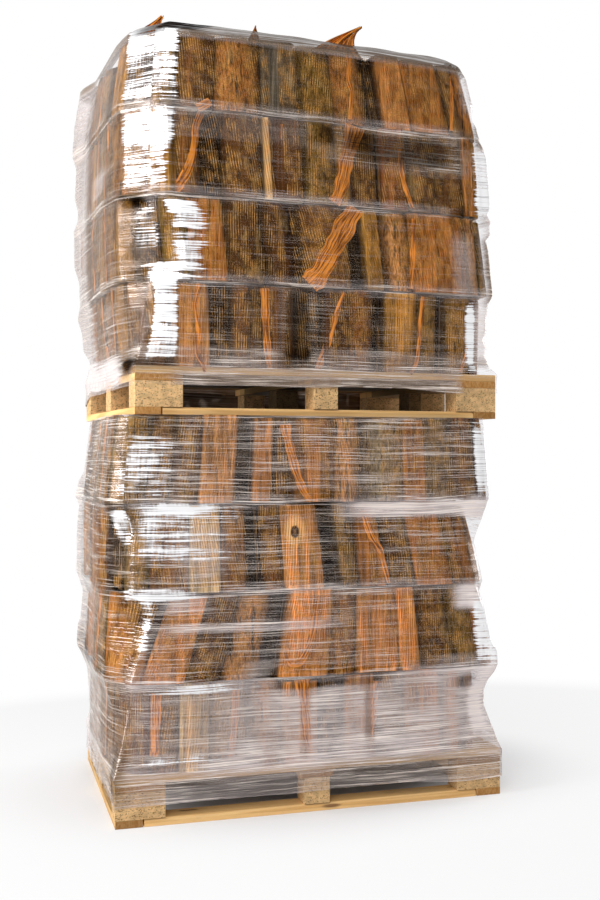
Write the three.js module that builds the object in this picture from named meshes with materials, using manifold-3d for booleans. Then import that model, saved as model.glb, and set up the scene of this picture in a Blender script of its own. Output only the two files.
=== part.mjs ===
// Two pallet loads of split firewood in net bags, each wrapped in stretch film, one on the other.
// Millimetres, +Z up. X runs along the long side of the pallets and Y from the front to the back.
// The origin is on the floor, at the middle of the lower pallet.
import * as THREE from "three";
import { mergeVertices } from "three/addons/utils/BufferGeometryUtils.js";
import Module from "manifold-3d";

const wasm = await Module();
wasm.setup();

// --- Pallet: a block pallet with a perimeter base, nailed from sawn boards and pressed blocks ---
const PALLET_LENGTH = 1200;
const PALLET_WIDTH = 800;
const BASE_BOARD_THICKNESS = 22;
const BASE_BOARD_WIDTH = 80;
const BASE_BOARD_JOINT = 3; // between the end of a cross board and the side board
const BASE_CHAMFER = 7; // on the upper edges that a truck's rollers climb
const BLOCK_HEIGHT = 78;
const BLOCK_WIDTH = 80;
const END_BLOCK_LENGTH = 145;
const MIDDLE_BLOCK_LENGTH = 80;
const STRINGER_THICKNESS = 22;
const END_STRINGER_WIDTH = 145;
const MIDDLE_STRINGER_WIDTH = 100;
const DECK_BOARD_THICKNESS = 22;
const DECK_BOARD_WIDTH = 98;
const DECK_BOARD_COUNT = 7;

// --- Load: four layers of three by two net bags, with the logs standing on end ---
const LAYER_HEIGHT = 260;
const SEAT = 0.3; // between a piece and what it rests on
const LOG_SHORTFALL = 16; // how much shorter than its layer the shortest log is
const LOG_DEPTH = 92;
const LOG_GAP = 4;
const SIDE_LOG_MIN = 78;
const SIDE_LOG_MAX = 128;
const CORE_INSET = 62; // from a layer's outline to the packed middle of its bags
const BAGS_ALONG = 3;
const BAGS_ACROSS = 2;
const BAG_NOTCH = 13; // how far a bag's side falls back towards its neighbour
const BARK_CROWN = 17;
const SPLIT_ARRIS = 9;
const RIDGE_FALL = 24;
const SET_BACK = 30; // of a log that stands behind its neighbours
const TOP_ROWS_PER_BAG = 3;
const TOP_COLUMNS_PER_BAG = 4;
const TOP_RECESS = 42; // from the log ends of the top layer down to the packed middle
const TOP_JITTER = 11;
const TOP_SETTLE = 22; // how far the top layer's shorter logs stay below a full layer
const TOP_LOG_INSET = 7; // how far the corners of a log end stand in from the cell it fills

// --- Stretch film: a tight open tube round each load ---
const FILM_WALL = 1;
const FILM_CLEARANCE = 0.6;
const FILM_STRIPS = 16;
const FILM_SHOULDER = 48; // below a layer's top, where the film leaves it for the next layer
const FILM_LIP_HEIGHT = 28;
const FILM_LIP_INSET = 44;
const LOWER_HEM = 58; // above the floor side of the pallet
const UPPER_HEM = 78;

// --- The upper load stands a little off the lower one ---
const UPPER_SHIFT_X = 24;
const UPPER_SHIFT_Y = 90;
const UPPER_TURN = THREE.MathUtils.degToRad(4.5);

const BLOCK_BASE = BASE_BOARD_THICKNESS;
const STRINGER_BASE = BLOCK_BASE + BLOCK_HEIGHT;
const DECK_BASE = STRINGER_BASE + STRINGER_THICKNESS;
const DECK_TOP = DECK_BASE + DECK_BOARD_THICKNESS;
const STRIP_ANGLE = (2 * Math.PI) / FILM_STRIPS;

// The face that a log turns outwards: round bark, a flat split face, the edge of a wedge, or a log
// that stands back from the others.
const BARK = "bark";
const SPLIT = "split";
const RIDGE = "ridge";
const BACK = "back";

// How far each side of a layer's foot and head stands out past the pallet's edge, and how much is
// cut off its corners as [along X, along Y]. The front row lists its logs from the left with widths.
const CORNER = [60, 60];
const LOWER_LAYERS = [
  {
    foot: { left: 8, right: -56, front: 0, back: 0, frontLeft: [90, 110], frontRight: [40, 60] },
    head: { left: 5, right: -60, front: -4, back: -5, frontLeft: [90, 110], frontRight: [40, 60] },
    front: [[BARK, 105], [SPLIT, 90], [BARK, 120], [BARK, 105], [SPLIT, 115], [BACK, 90],
      [SPLIT, 105], [BARK, 90], [SPLIT, 120], [RIDGE, 105]],
  },
  {
    foot: { left: 28, right: 0, front: 10, back: 2, frontLeft: [85, 120], frontRight: [40, 60] },
    head: { left: 12, right: -55, front: 0, back: -5, frontLeft: [165, 140], frontRight: [40, 60] },
    front: [[SPLIT, 120], [BARK, 90], [BARK, 105], [BACK, 40], [SPLIT, 135], [BARK, 75],
      [SPLIT, 120], [SPLIT, 60], [BARK, 95], [BARK, 95]],
  },
  {
    foot: { left: 36, right: -38, front: 10, back: 5, frontLeft: [120, 120], frontRight: [60, 60] },
    head: { left: 34, right: -98, front: 0, back: 0, frontLeft: [130, 120], frontRight: [60, 60] },
    front: [[SPLIT, 120], [SPLIT, 95], [SPLIT, 75], [BACK, 40], [BARK, 70], [SPLIT, 120],
      [BACK, 50], [BARK, 60], [SPLIT, 85], [BARK, 90], [SPLIT, 120], [BARK, 55]],
  },
  {
    foot: { left: 32, right: -20, front: 10, back: 5, frontLeft: [105, 60], frontRight: [35, 50] },
    head: { left: 4, right: -36, front: 0, back: 0, frontLeft: [105, 60], frontRight: [35, 50] },
    front: [[BARK, 70], [BARK, 70], [SPLIT, 96], [BACK, 45], [SPLIT, 54], [BARK, 45],
      [RIDGE, 125], [BARK, 75], [BARK, 120], [SPLIT, 66], [BARK, 80], [BARK, 85]],
  },
];
const UPPER_LAYERS = [
  {
    foot: { left: 2, right: -38, front: 0, back: 0, frontLeft: [110, 110], frontRight: [30, 60] },
    head: { left: 22, right: -30, front: 0, back: -5, frontLeft: [120, 120], frontRight: [30, 60] },
    front: [[SPLIT, 118], [BACK, 66], [BARK, 92], [SPLIT, 92], [BACK, 92], [SPLIT, 80],
      [BARK, 82], [BACK, 30], [SPLIT, 105], [BARK, 66], [BACK, 30], [BARK, 110]],
  },
  {
    foot: { left: 36, right: -2, front: 12, back: 0, frontLeft: [200, 150], frontRight: [40, 60] },
    head: { left: 42, right: -26, front: 0, back: -5, frontLeft: [180, 150], frontRight: [40, 60] },
    front: [[SPLIT, 116], [BARK, 116], [BARK, 110], [BARK, 155], [BACK, 48], [SPLIT, 60],
      [BARK, 95], [SPLIT, 190], [BARK, 50]],
  },
  {
    foot: { left: 40, right: -26, front: 6, back: 0, frontLeft: [150, 130], frontRight: [40, 60] },
    head: { left: 32, right: -44, front: 0, back: -5, frontLeft: [130, 130], frontRight: [40, 60] },
    front: [[RIDGE, 95], [BACK, 74], [BARK, 132], [SPLIT, 130], [BARK, 115], [BARK, 50],
      [BARK, 105], [SPLIT, 96], [BARK, 105], [BARK, 105], [SPLIT, 40]],
  },
  {
    foot: { left: 36, right: -30, front: 0, back: 0, frontLeft: [135, 110], frontRight: [55, 60] },
    head: { left: 2, right: -92, front: -5, back: -10, frontLeft: [120, 110], frontRight: [60, 60] },
    front: [[RIDGE, 133], [BARK, 140], [SPLIT, 115], [BARK, 112], [BARK, 110], [BACK, 48],
      [SPLIT, 90], [SPLIT, 130], [BARK, 68]],
  },
];

const PALLET_WOOD = { color: 0xd8b27a, roughness: 0.8, metalness: 0 };
const PRESSED_BLOCK = { color: 0xbf9a63, roughness: 0.9, metalness: 0 };
const NETTED_LOGS = { color: 0x8a5428, roughness: 0.85, metalness: 0 };
const FILM = { color: 0xe6eaf0, roughness: 0.12, metalness: 0, transparent: true, opacity: 0.35 };

/** A repeatable run of numbers from 0 to 1, so that every build lays the same logs. */
function chance(seed) {
  let state = seed;
  return () => {
    state = (state + 0x6d2b79f5) | 0;
    let mixed = Math.imul(state ^ (state >>> 15), 1 | state);
    mixed = (mixed + Math.imul(mixed ^ (mixed >>> 7), 61 | mixed)) ^ mixed;
    return ((mixed ^ (mixed >>> 14)) >>> 0) / 4294967296;
  };
}

/** Keeps only the corners of a geometry and joins those that coincide. */
function welded(geometry) {
  geometry.deleteAttribute("normal");
  geometry.deleteAttribute("uv");
  return mergeVertices(geometry, 1e-3);
}

/** A closed geometry as a manifold-3d solid. */
function solidFrom(geometry) {
  const closed = welded(geometry);
  return new wasm.Manifold(
    new wasm.Mesh({
      numProp: 3,
      vertProperties: new Float32Array(closed.getAttribute("position").array),
      triVerts: new Uint32Array(closed.index.array),
    }),
  );
}

/** A manifold-3d solid as a three.js geometry. */
function geometryFrom(solid) {
  const mesh = solid.getMesh();
  const geometry = new THREE.BufferGeometry();
  geometry.setAttribute("position", new THREE.BufferAttribute(mesh.vertProperties, 3));
  geometry.setIndex(new THREE.BufferAttribute(mesh.triVerts, 1));
  return geometry;
}

function namedMesh(name, geometry, finish) {
  const mesh = new THREE.Mesh(geometry, new THREE.MeshStandardMaterial(finish));
  mesh.name = name;
  return mesh;
}

/** A solid between two outlines with the same number of points, the foot's and the head's. */
function loft(foot, head, low, high) {
  const geometry = new THREE.ExtrudeGeometry(new THREE.Shape(foot), {
    depth: high - low,
    bevelEnabled: false,
  });
  const position = geometry.getAttribute("position");
  for (let i = 0; i < position.count; i += 1) {
    const here = new THREE.Vector2(position.getX(i), position.getY(i));
    const isHead = position.getZ(i) > (high - low) / 2;
    const nearest = foot.reduce((a, b) => (b.distanceTo(here) < a.distanceTo(here) ? b : a));
    const corner = (isHead ? head : foot)[foot.indexOf(nearest)];
    position.setXYZ(i, corner.x, corner.y, isHead ? high : low);
  }
  return geometry;
}

// ----------------------------------------------------------------------------------------------
// Pallet
// ----------------------------------------------------------------------------------------------

/** A plain sawn piece, with its lowest face at a height. */
function sawnPiece(name, finish, [length, width, height], [x, y, base]) {
  const mesh = namedMesh(name, new THREE.BoxGeometry(length, width, height), finish);
  mesh.position.set(x, y, base + height / 2);
  return mesh;
}

/** A base board along X whose two upper edges are chamfered. */
function crossBoard(name, length, y) {
  const half = BASE_BOARD_WIDTH / 2;
  const top = BASE_BOARD_THICKNESS;
  const section = new THREE.Shape([
    new THREE.Vector2(-half, 0),
    new THREE.Vector2(half, 0),
    new THREE.Vector2(half, top - BASE_CHAMFER),
    new THREE.Vector2(half - BASE_CHAMFER, top),
    new THREE.Vector2(-half + BASE_CHAMFER, top),
    new THREE.Vector2(-half, top - BASE_CHAMFER),
  ]);
  const geometry = new THREE.ExtrudeGeometry(section, { depth: length, bevelEnabled: false });
  geometry.rotateX(Math.PI / 2).rotateZ(Math.PI / 2);
  geometry.translate(-length / 2, 0, 0);
  const mesh = namedMesh(name, geometry, PALLET_WOOD);
  mesh.position.y = y;
  return mesh;
}

/** The five base boards: one along each end, and three between them under the rows of blocks. */
function baseBoards(prefix) {
  const sideX = (PALLET_LENGTH - BASE_BOARD_WIDTH) / 2;
  const rowY = (PALLET_WIDTH - BASE_BOARD_WIDTH) / 2;
  const crossLength = PALLET_LENGTH - 2 * (BASE_BOARD_WIDTH + BASE_BOARD_JOINT);
  const sideSize = [BASE_BOARD_WIDTH, PALLET_WIDTH, BASE_BOARD_THICKNESS];
  return [
    sawnPiece(`${prefix}_base_board_left`, PALLET_WOOD, sideSize, [-sideX, 0, 0]),
    sawnPiece(`${prefix}_base_board_right`, PALLET_WOOD, sideSize, [sideX, 0, 0]),
    crossBoard(`${prefix}_base_board_front`, crossLength, -rowY),
    crossBoard(`${prefix}_base_board_middle`, crossLength, 0),
    crossBoard(`${prefix}_base_board_back`, crossLength, rowY),
  ];
}

/** Three rows of three pressed blocks, long ones under the ends and short ones in the middle. */
function blocks(prefix) {
  const endX = (PALLET_LENGTH - END_BLOCK_LENGTH) / 2;
  const rowY = (PALLET_WIDTH - BLOCK_WIDTH) / 2;
  const columns = [
    ["left", -endX, END_BLOCK_LENGTH],
    ["centre", 0, MIDDLE_BLOCK_LENGTH],
    ["right", endX, END_BLOCK_LENGTH],
  ];
  const rows = [["front", -rowY], ["middle", 0], ["back", rowY]];
  return rows.flatMap(([row, y]) =>
    columns.map(([column, x, length]) =>
      sawnPiece(`${prefix}_block_${row}_${column}`, PRESSED_BLOCK,
        [length, BLOCK_WIDTH, BLOCK_HEIGHT], [x, y, BLOCK_BASE])));
}

/** One flat board across the pallet on each column of blocks. */
function stringers(prefix) {
  const endX = (PALLET_LENGTH - END_STRINGER_WIDTH) / 2;
  const columns = [
    ["left", -endX, END_STRINGER_WIDTH],
    ["middle", 0, MIDDLE_STRINGER_WIDTH],
    ["right", endX, END_STRINGER_WIDTH],
  ];
  return columns.map(([column, x, width]) =>
    sawnPiece(`${prefix}_stringer_${column}`, PALLET_WOOD,
      [width, PALLET_WIDTH, STRINGER_THICKNESS], [x, 0, STRINGER_BASE]));
}

/** The deck boards along X, evenly spaced from edge to edge. */
function deckBoards(prefix) {
  const pitch = (PALLET_WIDTH - DECK_BOARD_WIDTH) / (DECK_BOARD_COUNT - 1);
  const first = (DECK_BOARD_WIDTH - PALLET_WIDTH) / 2;
  return Array.from({ length: DECK_BOARD_COUNT }, (_, i) =>
    sawnPiece(`${prefix}_deck_board_${i + 1}`, PALLET_WOOD,
      [PALLET_LENGTH, DECK_BOARD_WIDTH, DECK_BOARD_THICKNESS],
      [0, first + i * pitch, DECK_BASE]));
}

// ----------------------------------------------------------------------------------------------
// Layers of bags
// ----------------------------------------------------------------------------------------------

/** The eight corners of a layer's outline, anticlockwise from the left end of its front. */
function outline(side) {
  const left = -PALLET_LENGTH / 2 - side.left;
  const right = PALLET_LENGTH / 2 + side.right;
  const front = -PALLET_WIDTH / 2 - side.front;
  const back = PALLET_WIDTH / 2 + side.back;
  return [
    new THREE.Vector2(left + side.frontLeft[0], front),
    new THREE.Vector2(right - side.frontRight[0], front),
    new THREE.Vector2(right, front + side.frontRight[1]),
    new THREE.Vector2(right, back - CORNER[1]),
    new THREE.Vector2(right - CORNER[0], back),
    new THREE.Vector2(left + CORNER[0], back),
    new THREE.Vector2(left, back - CORNER[1]),
    new THREE.Vector2(left, front + side.frontLeft[1]),
  ];
}

/** The point at a share of the way along one edge of an outline, and a distance inside it. */
function insideEdge(corners, edge, share, depth) {
  const start = corners[edge];
  const end = corners[(edge + 1) % corners.length];
  const inward = end.clone().sub(start).normalize().rotateAround(new THREE.Vector2(), Math.PI / 2);
  return start.clone().lerp(end, share).addScaledVector(inward, depth);
}

/** The outline moved inwards by the same distance on every edge. */
function inset(corners, distance) {
  return corners.map((_, i) => {
    const before = (i + corners.length - 1) % corners.length;
    const a = insideEdge(corners, before, 0, distance);
    const b = insideEdge(corners, before, 1, distance);
    const c = insideEdge(corners, i, 0, distance);
    const d = insideEdge(corners, i, 1, distance);
    const first = b.clone().sub(a);
    const second = d.clone().sub(c);
    const along = c.clone().sub(a).cross(second) / first.cross(second);
    return a.addScaledVector(first, along);
  });
}

/** A log's outer face as [share of its width, depth] points, from its left side to its right. */
function outerFace(kind) {
  if (kind === RIDGE) return [[0, RIDGE_FALL], [0.42, 0], [1, RIDGE_FALL * 0.8]];
  if (kind === SPLIT) return [[0, SPLIT_ARRIS], [0.1, 0], [0.9, 0], [1, SPLIT_ARRIS]];
  const stand = kind === BACK ? SET_BACK : 0;
  return [0, 0.2, 0.5, 0.8, 1].map((t) => [t, stand + BARK_CROWN * (1 - Math.sin(Math.PI * t))]);
}

/** Logs of mixed widths and faces that fill a length. */
function mixedRow(length, random) {
  const row = [];
  let filled = 0;
  while (filled < length - SIDE_LOG_MIN / 2) {
    const width = SIDE_LOG_MIN + random() * (SIDE_LOG_MAX - SIDE_LOG_MIN);
    const kind = [BARK, SPLIT, BARK, RIDGE, SPLIT, BACK][Math.floor(random() * 6)];
    row.push([kind, width]);
    filled += width;
  }
  return row;
}

/** The outlines of the logs that stand along one edge of a layer, at foot and head. */
function edgeLogs(feet, heads, edge, row, bags) {
  const total = row.reduce((sum, [, width]) => sum + width, 0);
  let from = 0;
  return row.map(([kind, width]) => {
    const share = (t) => (from + LOG_GAP / 2 + t * (width - LOG_GAP)) / total;
    const section = outerFace(kind).map(([t, depth]) => {
      const inBag = (share(t) * bags) % 1;
      return [share(t), depth + (bags ? BAG_NOTCH * (1 - Math.sin(Math.PI * inBag)) : 0)];
    });
    section.push([share(1), LOG_DEPTH], [share(0), LOG_DEPTH]);
    from += width;
    return [feet, heads].map((corners) =>
      section.map(([along, depth]) => insideEdge(corners, edge, along, depth)));
  });
}

/** All the logs that show on the sides of a layer. */
function sideLogs(layer, random) {
  const feet = outline(layer.foot);
  const heads = outline(layer.head);
  const bagsOnEdge = [BAGS_ALONG, 0, BAGS_ACROSS, 0, BAGS_ALONG, 0, BAGS_ACROSS, 0];
  return bagsOnEdge.flatMap((bags, edge) => {
    const length = feet[edge].distanceTo(feet[(edge + 1) % feet.length]);
    const row = edge === 0 ? layer.front : mixedRow(length, random);
    return edgeLogs(feet, heads, edge, row, bags);
  });
}

/** The outlines of the log ends inside the top of a load, some of them split across a corner. */
function topLogs(layer, random) {
  const columns = BAGS_ALONG * TOP_COLUMNS_PER_BAG;
  const rows = BAGS_ACROSS * TOP_ROWS_PER_BAG;
  const { left, right, front, back } = layer.head;
  const low = new THREE.Vector2(-PALLET_LENGTH / 2 - left, -PALLET_WIDTH / 2 - front);
  const high = new THREE.Vector2(PALLET_LENGTH / 2 + right, PALLET_WIDTH / 2 + back);
  low.addScalar(LOG_DEPTH - LOG_GAP);
  high.subScalar(LOG_DEPTH - LOG_GAP);
  const corner = (column, row) => {
    const onSeamX = column % TOP_COLUMNS_PER_BAG === 0;
    const onSeamY = row % TOP_ROWS_PER_BAG === 0;
    return new THREE.Vector2(
      low.x + ((high.x - low.x) * column) / columns + (onSeamX ? 0 : (random() - 0.5) * 2 * TOP_JITTER),
      low.y + ((high.y - low.y) * row) / rows + (onSeamY ? 0 : (random() - 0.5) * 2 * TOP_JITTER),
    );
  };
  const grid = Array.from({ length: columns + 1 }, (_, c) =>
    Array.from({ length: rows + 1 }, (_, r) => corner(c, r)));
  const shrunk = (points) => {
    const middle = points.reduce((sum, p) => sum.add(p), new THREE.Vector2());
    middle.divideScalar(points.length);
    return points.map((p) => p.clone().lerp(middle, TOP_LOG_INSET / p.distanceTo(middle)));
  };
  const ends = [];
  for (let c = 0; c < columns; c += 1) {
    for (let r = 0; r < rows; r += 1) {
      const [a, b, d, e] = [grid[c][r], grid[c + 1][r], grid[c + 1][r + 1], grid[c][r + 1]];
      if (random() < 0.35) ends.push(shrunk([a, b, d]), shrunk([a, d, e]));
      else ends.push(shrunk([a, b, d, e]));
    }
  }
  return ends;
}

/** One layer of bags as one solid, with the gaps between its logs cut into its faces. */
function bagLayer(name, layer, base, random, isTop) {
  const low = base + SEAT;
  const high = base + LAYER_HEIGHT - (isTop ? TOP_SETTLE : 0);
  const coreTop = isTop ? high - TOP_RECESS : high;
  const core = [layer.foot, layer.head].map((side) => inset(outline(side), CORE_INSET));
  const logs = sideLogs(layer, random);
  let solid = solidFrom(loft(core[0], core[1], low, coreTop));
  for (const [foot, head] of logs) {
    const logTop = high - random() * LOG_SHORTFALL;
    const share = (logTop - low) / (high - low);
    const cutHead = foot.map((p, i) => p.clone().lerp(head[i], share));
    solid = solid.add(solidFrom(loft(foot, cutHead, low, logTop)));
  }
  if (isTop) {
    for (const end of topLogs(layer, random)) {
      const endTop = high - random() * LOG_SHORTFALL;
      solid = solid.add(solidFrom(loft(end, end, coreTop - LOG_GAP, endTop)));
    }
  }
  return { mesh: namedMesh(name, geometryFrom(solid), NETTED_LOGS), logs };
}

// ----------------------------------------------------------------------------------------------
// Stretch film
// ----------------------------------------------------------------------------------------------

/** How far points reach in each of the directions that the film's strips face. */
function reachOf(points) {
  return Array.from({ length: FILM_STRIPS }, (_, k) => {
    const angle = k * STRIP_ANGLE;
    const normal = new THREE.Vector2(Math.cos(angle), Math.sin(angle));
    return Math.max(...points.map((p) => p.dot(normal)));
  });
}

/** The closed outline of film drawn tight at given reaches, a distance outside them. */
function tightOutline(reach, distance) {
  return reach.map((here, k) => {
    const near = here + distance;
    const far = reach[(k + 1) % FILM_STRIPS] + distance;
    const along = (far - near * Math.cos(STRIP_ANGLE)) / Math.sin(STRIP_ANGLE);
    return new THREE.Vector2(near, along).rotateAround(new THREE.Vector2(), k * STRIP_ANGLE);
  });
}

/** The film's levels from hem to rim, each with how far the load reaches there. */
function filmLevels(layers, hem, isTop) {
  const halfLength = PALLET_LENGTH / 2;
  const halfWidth = PALLET_WIDTH / 2;
  const deck = reachOf([
    new THREE.Vector2(-halfLength, -halfWidth),
    new THREE.Vector2(halfLength, -halfWidth),
    new THREE.Vector2(halfLength, halfWidth),
    new THREE.Vector2(-halfLength, halfWidth),
  ]);
  const levels = [{ z: hem, reach: deck, inset: 0 }];
  let below = deck;
  layers.forEach(({ logs }, i) => {
    const base = DECK_TOP + i * LAYER_HEIGHT;
    const foot = reachOf(logs.flatMap(([points]) => points));
    const head = reachOf(logs.flatMap(([, points]) => points));
    const widest = foot.map((r, k) => Math.max(r, below[k]));
    const shoulder = foot.map((r, k) => r + (head[k] - r) * (1 - FILM_SHOULDER / LAYER_HEIGHT));
    levels.push({ z: base, reach: widest, inset: 0 });
    levels.push({ z: base + LAYER_HEIGHT - FILM_SHOULDER, reach: shoulder, inset: 0 });
    below = head;
  });
  const top = DECK_TOP + layers.length * LAYER_HEIGHT - (isTop ? TOP_SETTLE : FILM_WALL);
  levels.push({ z: top, reach: below, inset: 0 });
  if (isTop) levels.push({ z: top + FILM_LIP_HEIGHT, reach: below, inset: FILM_LIP_INSET });
  return levels;
}

/** The film as a thin-walled tube, open below and above. */
function stretchFilm(name, layers, hem, isTop) {
  const levels = filmLevels(layers, hem, isTop);
  const ring = (level, distance) => ({
    z: level.z,
    corners: tightOutline(level.reach, distance - level.inset),
  });
  const inner = levels.map((level) => ring(level, FILM_CLEARANCE));
  const outer = levels.map((level) => ring(level, FILM_CLEARANCE + FILM_WALL));
  const around = [...outer, ...inner.reverse(), outer[0]];
  const profile = around.map(({ z }) => new THREE.Vector2(1, z));
  const geometry = new THREE.LatheGeometry(profile, FILM_STRIPS);
  const position = geometry.getAttribute("position");
  for (let k = 0; k <= FILM_STRIPS; k += 1) {
    around.forEach(({ z, corners }, j) => {
      const corner = corners[k % FILM_STRIPS];
      position.setXYZ(k * around.length + j, corner.x, corner.y, z);
    });
  }
  return namedMesh(name, welded(geometry), FILM);
}

// ----------------------------------------------------------------------------------------------
// Loads
// ----------------------------------------------------------------------------------------------

/** A pallet with its layers of bags and its film. */
function palletLoad(prefix, plans, hem, seed, isTop) {
  const random = chance(seed);
  const layers = plans.map((plan, i) =>
    bagLayer(`${prefix}_bags_${i + 1}`, plan, DECK_TOP + i * LAYER_HEIGHT, random,
      isTop && i === plans.length - 1));
  const load = new THREE.Group();
  load.add(...baseBoards(prefix), ...blocks(prefix), ...stringers(prefix), ...deckBoards(prefix));
  load.add(...layers.map(({ mesh }) => mesh));
  load.add(stretchFilm(`${prefix}_stretch_film`, layers, hem, isTop));
  return load;
}

const lowerLoad = palletLoad("lower", LOWER_LAYERS, LOWER_HEM, 11, false);
const upperLoad = palletLoad("upper", UPPER_LAYERS, UPPER_HEM, 29, true);
const unitHeight = DECK_TOP + LOWER_LAYERS.length * LAYER_HEIGHT;
upperLoad.position.set(UPPER_SHIFT_X, UPPER_SHIFT_Y, unitHeight + SEAT);
upperLoad.rotation.z = UPPER_TURN;

const group = new THREE.Group();
group.add(lowerLoad, upperLoad);

export default group;
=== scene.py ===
"""Two pallet loads of split firewood in net bags, each wrapped in stretch film, one on the other.

Metres, +Z up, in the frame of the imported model. X runs along the pallets' long side and Y from the
front to the back. The layers of logs are laid again from the sizes that the model's solids have,
and then dressed with bark, nets and film.
"""

import logging
import math
import random
from collections.abc import Callable, Iterable, Sequence
from dataclasses import dataclass, field
from enum import Enum

import bmesh
import bpy
from bmesh.types import BMesh, BMFace, BMVert
from bpy.types import Material, Object
from mathutils import Matrix, Vector, noise


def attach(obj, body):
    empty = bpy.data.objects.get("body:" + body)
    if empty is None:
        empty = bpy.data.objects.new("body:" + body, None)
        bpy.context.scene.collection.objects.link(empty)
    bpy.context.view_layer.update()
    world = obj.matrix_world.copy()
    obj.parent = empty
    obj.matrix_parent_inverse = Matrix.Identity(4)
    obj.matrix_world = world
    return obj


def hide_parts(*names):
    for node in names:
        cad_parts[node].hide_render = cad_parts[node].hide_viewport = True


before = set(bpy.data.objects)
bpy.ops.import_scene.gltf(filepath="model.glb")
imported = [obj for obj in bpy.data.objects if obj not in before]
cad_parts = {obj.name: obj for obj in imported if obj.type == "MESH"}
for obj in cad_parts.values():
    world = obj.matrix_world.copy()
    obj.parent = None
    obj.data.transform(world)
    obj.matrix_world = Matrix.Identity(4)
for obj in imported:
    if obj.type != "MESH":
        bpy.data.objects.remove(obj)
log = logging.getLogger("pallet_load")

# --- Sizes that the model's solids have too ---
PALLET_LENGTH = 1.2
PALLET_WIDTH = 0.8
DECK_TOP = 0.144
LAYER_HEIGHT = 0.26
LAYER_COUNT = 4
SEAT = 0.0003
LOG_SHORTFALL = 0.016
LOG_DEPTH = 0.092
LOG_GAP = 0.004
SIDE_LOG_MIN = 0.078
SIDE_LOG_MAX = 0.128
CORE_INSET = 0.062
BAGS_ALONG = 3
BAGS_ACROSS = 2
BAG_NOTCH = 0.013
BARK_CROWN = 0.017
SPLIT_ARRIS = 0.009
RIDGE_FALL = 0.024
SET_BACK = 0.030
TOP_ROWS_PER_BAG = 3
TOP_COLUMNS_PER_BAG = 4
TOP_RECESS = 0.042
TOP_JITTER = 0.011
TOP_LOG_INSET = 0.007
TOP_SETTLE = 0.022
CORNER_CUT = 0.060
FILM_LIP_HEIGHT = 0.028
FILM_LIP_INSET = 0.044
UNIT_HEIGHT = DECK_TOP + LAYER_COUNT * LAYER_HEIGHT
BAG_EDGES = (BAGS_ALONG, 0, BAGS_ACROSS, 0) * 2  # the bags along each edge of the outline
RIDGE_PLACE = 0.42  # where a wedge's ridge stands, as a share of its width
RIDGE_FAR_RUN = 0.725  # the share over which the side beyond the ridge falls its full depth
TOP_SPLIT_SHARE = 0.35  # of the log ends on top that are split across a corner
LOWER_SEED = 11
UPPER_SEED = 29
UPPER_SHIFT = (0.024, 0.090)  # of the upper load, against the lower one
UPPER_TURN = math.radians(4.5)

# --- How finely the logs and the soft pieces are drawn ---
LOG_LEVELS = 9
LOG_SKIN = 0.6 * LOG_DEPTH  # how deep the roughened outer part of a log goes
LOG_ROUGHNESS = (0.0035, 0.0018)  # of its broad hollows and of its fine ones
LOG_LEAN = 0.0036  # the most that a log's face leans, from its foot to its head
LOG_SWELL = 0.004  # the most that a log's two ends are thinner than its middle
NET_STEP = 0.011
NET_LEVELS = 14
NET_STAND_OFF = 0.0016
NET_FOLDS = (0.022, 0.055)  # how far a net turns in over the logs, below and above
NET_FOLD_ROWS = 3
NET_SPAN = 0.034  # half of the widest hollow between two logs that a net bridges
NET_SLANT = 0.16  # the most that a bag's mesh is turned, in radians
NET_CORNER_TRIM = 0.007  # by which a net cuts each corner of its layer
BAG_SEAM = (0.026, 0.02)  # the depth and half width of the valley between two bags
EAR_CELLS = (20, 12)
FILM_GIRTH = 2 * (PALLET_LENGTH + PALLET_WIDTH)
FILM_COLUMNS = 480
FILM_ROWS = 176
FILM_STAND_OFF = 0.0062
FILM_RISE = 0.34  # how steeply, as a slope, the film leaves one layer for the next
NO_KNOT = Vector((1, 1, 1))  # far from a knot
SHADED_DEPTHS = (0.004, 0.030)  # between which a log's side goes from full light to dark
END_BOW = 0.10  # the most that a side of a log's end on top bows out, as a share of its length
END_STEPS = (0.04, 0.28, 0.5, 0.72, 0.96)  # where the corners along such a side are
END_ARRIS = 0.93  # where such an end's arris begins, as a share of its height
PITH_DRIFT = 0.012  # how far the pith can lie from a corner of the end
SEAM_MERGE = 1e-6  # the distance under which the corners along a seam become one
MARK_END = 1.25  # where a mark on the film ends, as a share of its half width or height
LOWER_PAINTED_LIGHT = 0.84  # painted shade that darkens the lower pallet's wood against the upper one's

Colour = tuple[float, float, float]
Spot = tuple[float, float, float]
Socket = bpy.types.NodeSocket
Vector2 = Vector  # of two numbers


class Face(Enum):
    """What a log turns outwards."""

    BARK = "bark"
    SPLIT = "split"
    RIDGE = "ridge"
    BACK = "back"


class Tone(Enum):
    """The colour of a log's face, as a hex number."""

    GOLD = 0xC48C3C
    ORANGE = 0xC27A34
    BROWN = 0x84552A
    OLIVE = 0x8A692E
    RED = 0x8E5228
    GREY = 0x6A5E4C
    # painted shade: near-black for logs set back into the shade between others, and for the hidden
    # core
    DARK = 0x1E1B1C
    AMBER = 0xE0924A
    CREAM = 0xF0C98C
    APRICOT = 0xFFB268
    UMBER = 0x6A4220


class Chance:
    """A repeatable run of numbers from 0 to 1, as the model's solids are laid with."""

    MASK = 0xFFFFFFFF

    def __init__(self, seed: int) -> None:
        """Starts the run.

        Args:
            seed: where the run starts.
        """
        self.state = seed

    def __call__(self) -> float:
        """The next number of the run."""
        self.state = (self.state + 0x6D2B79F5) & self.MASK
        mixed = (self.state ^ (self.state >> 15)) * (1 | self.state) & self.MASK
        inner = (mixed ^ (mixed >> 7)) * (61 | mixed) & self.MASK
        mixed = ((mixed + inner) & self.MASK) ^ mixed
        return (mixed ^ (mixed >> 14)) / (self.MASK + 1)


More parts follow.
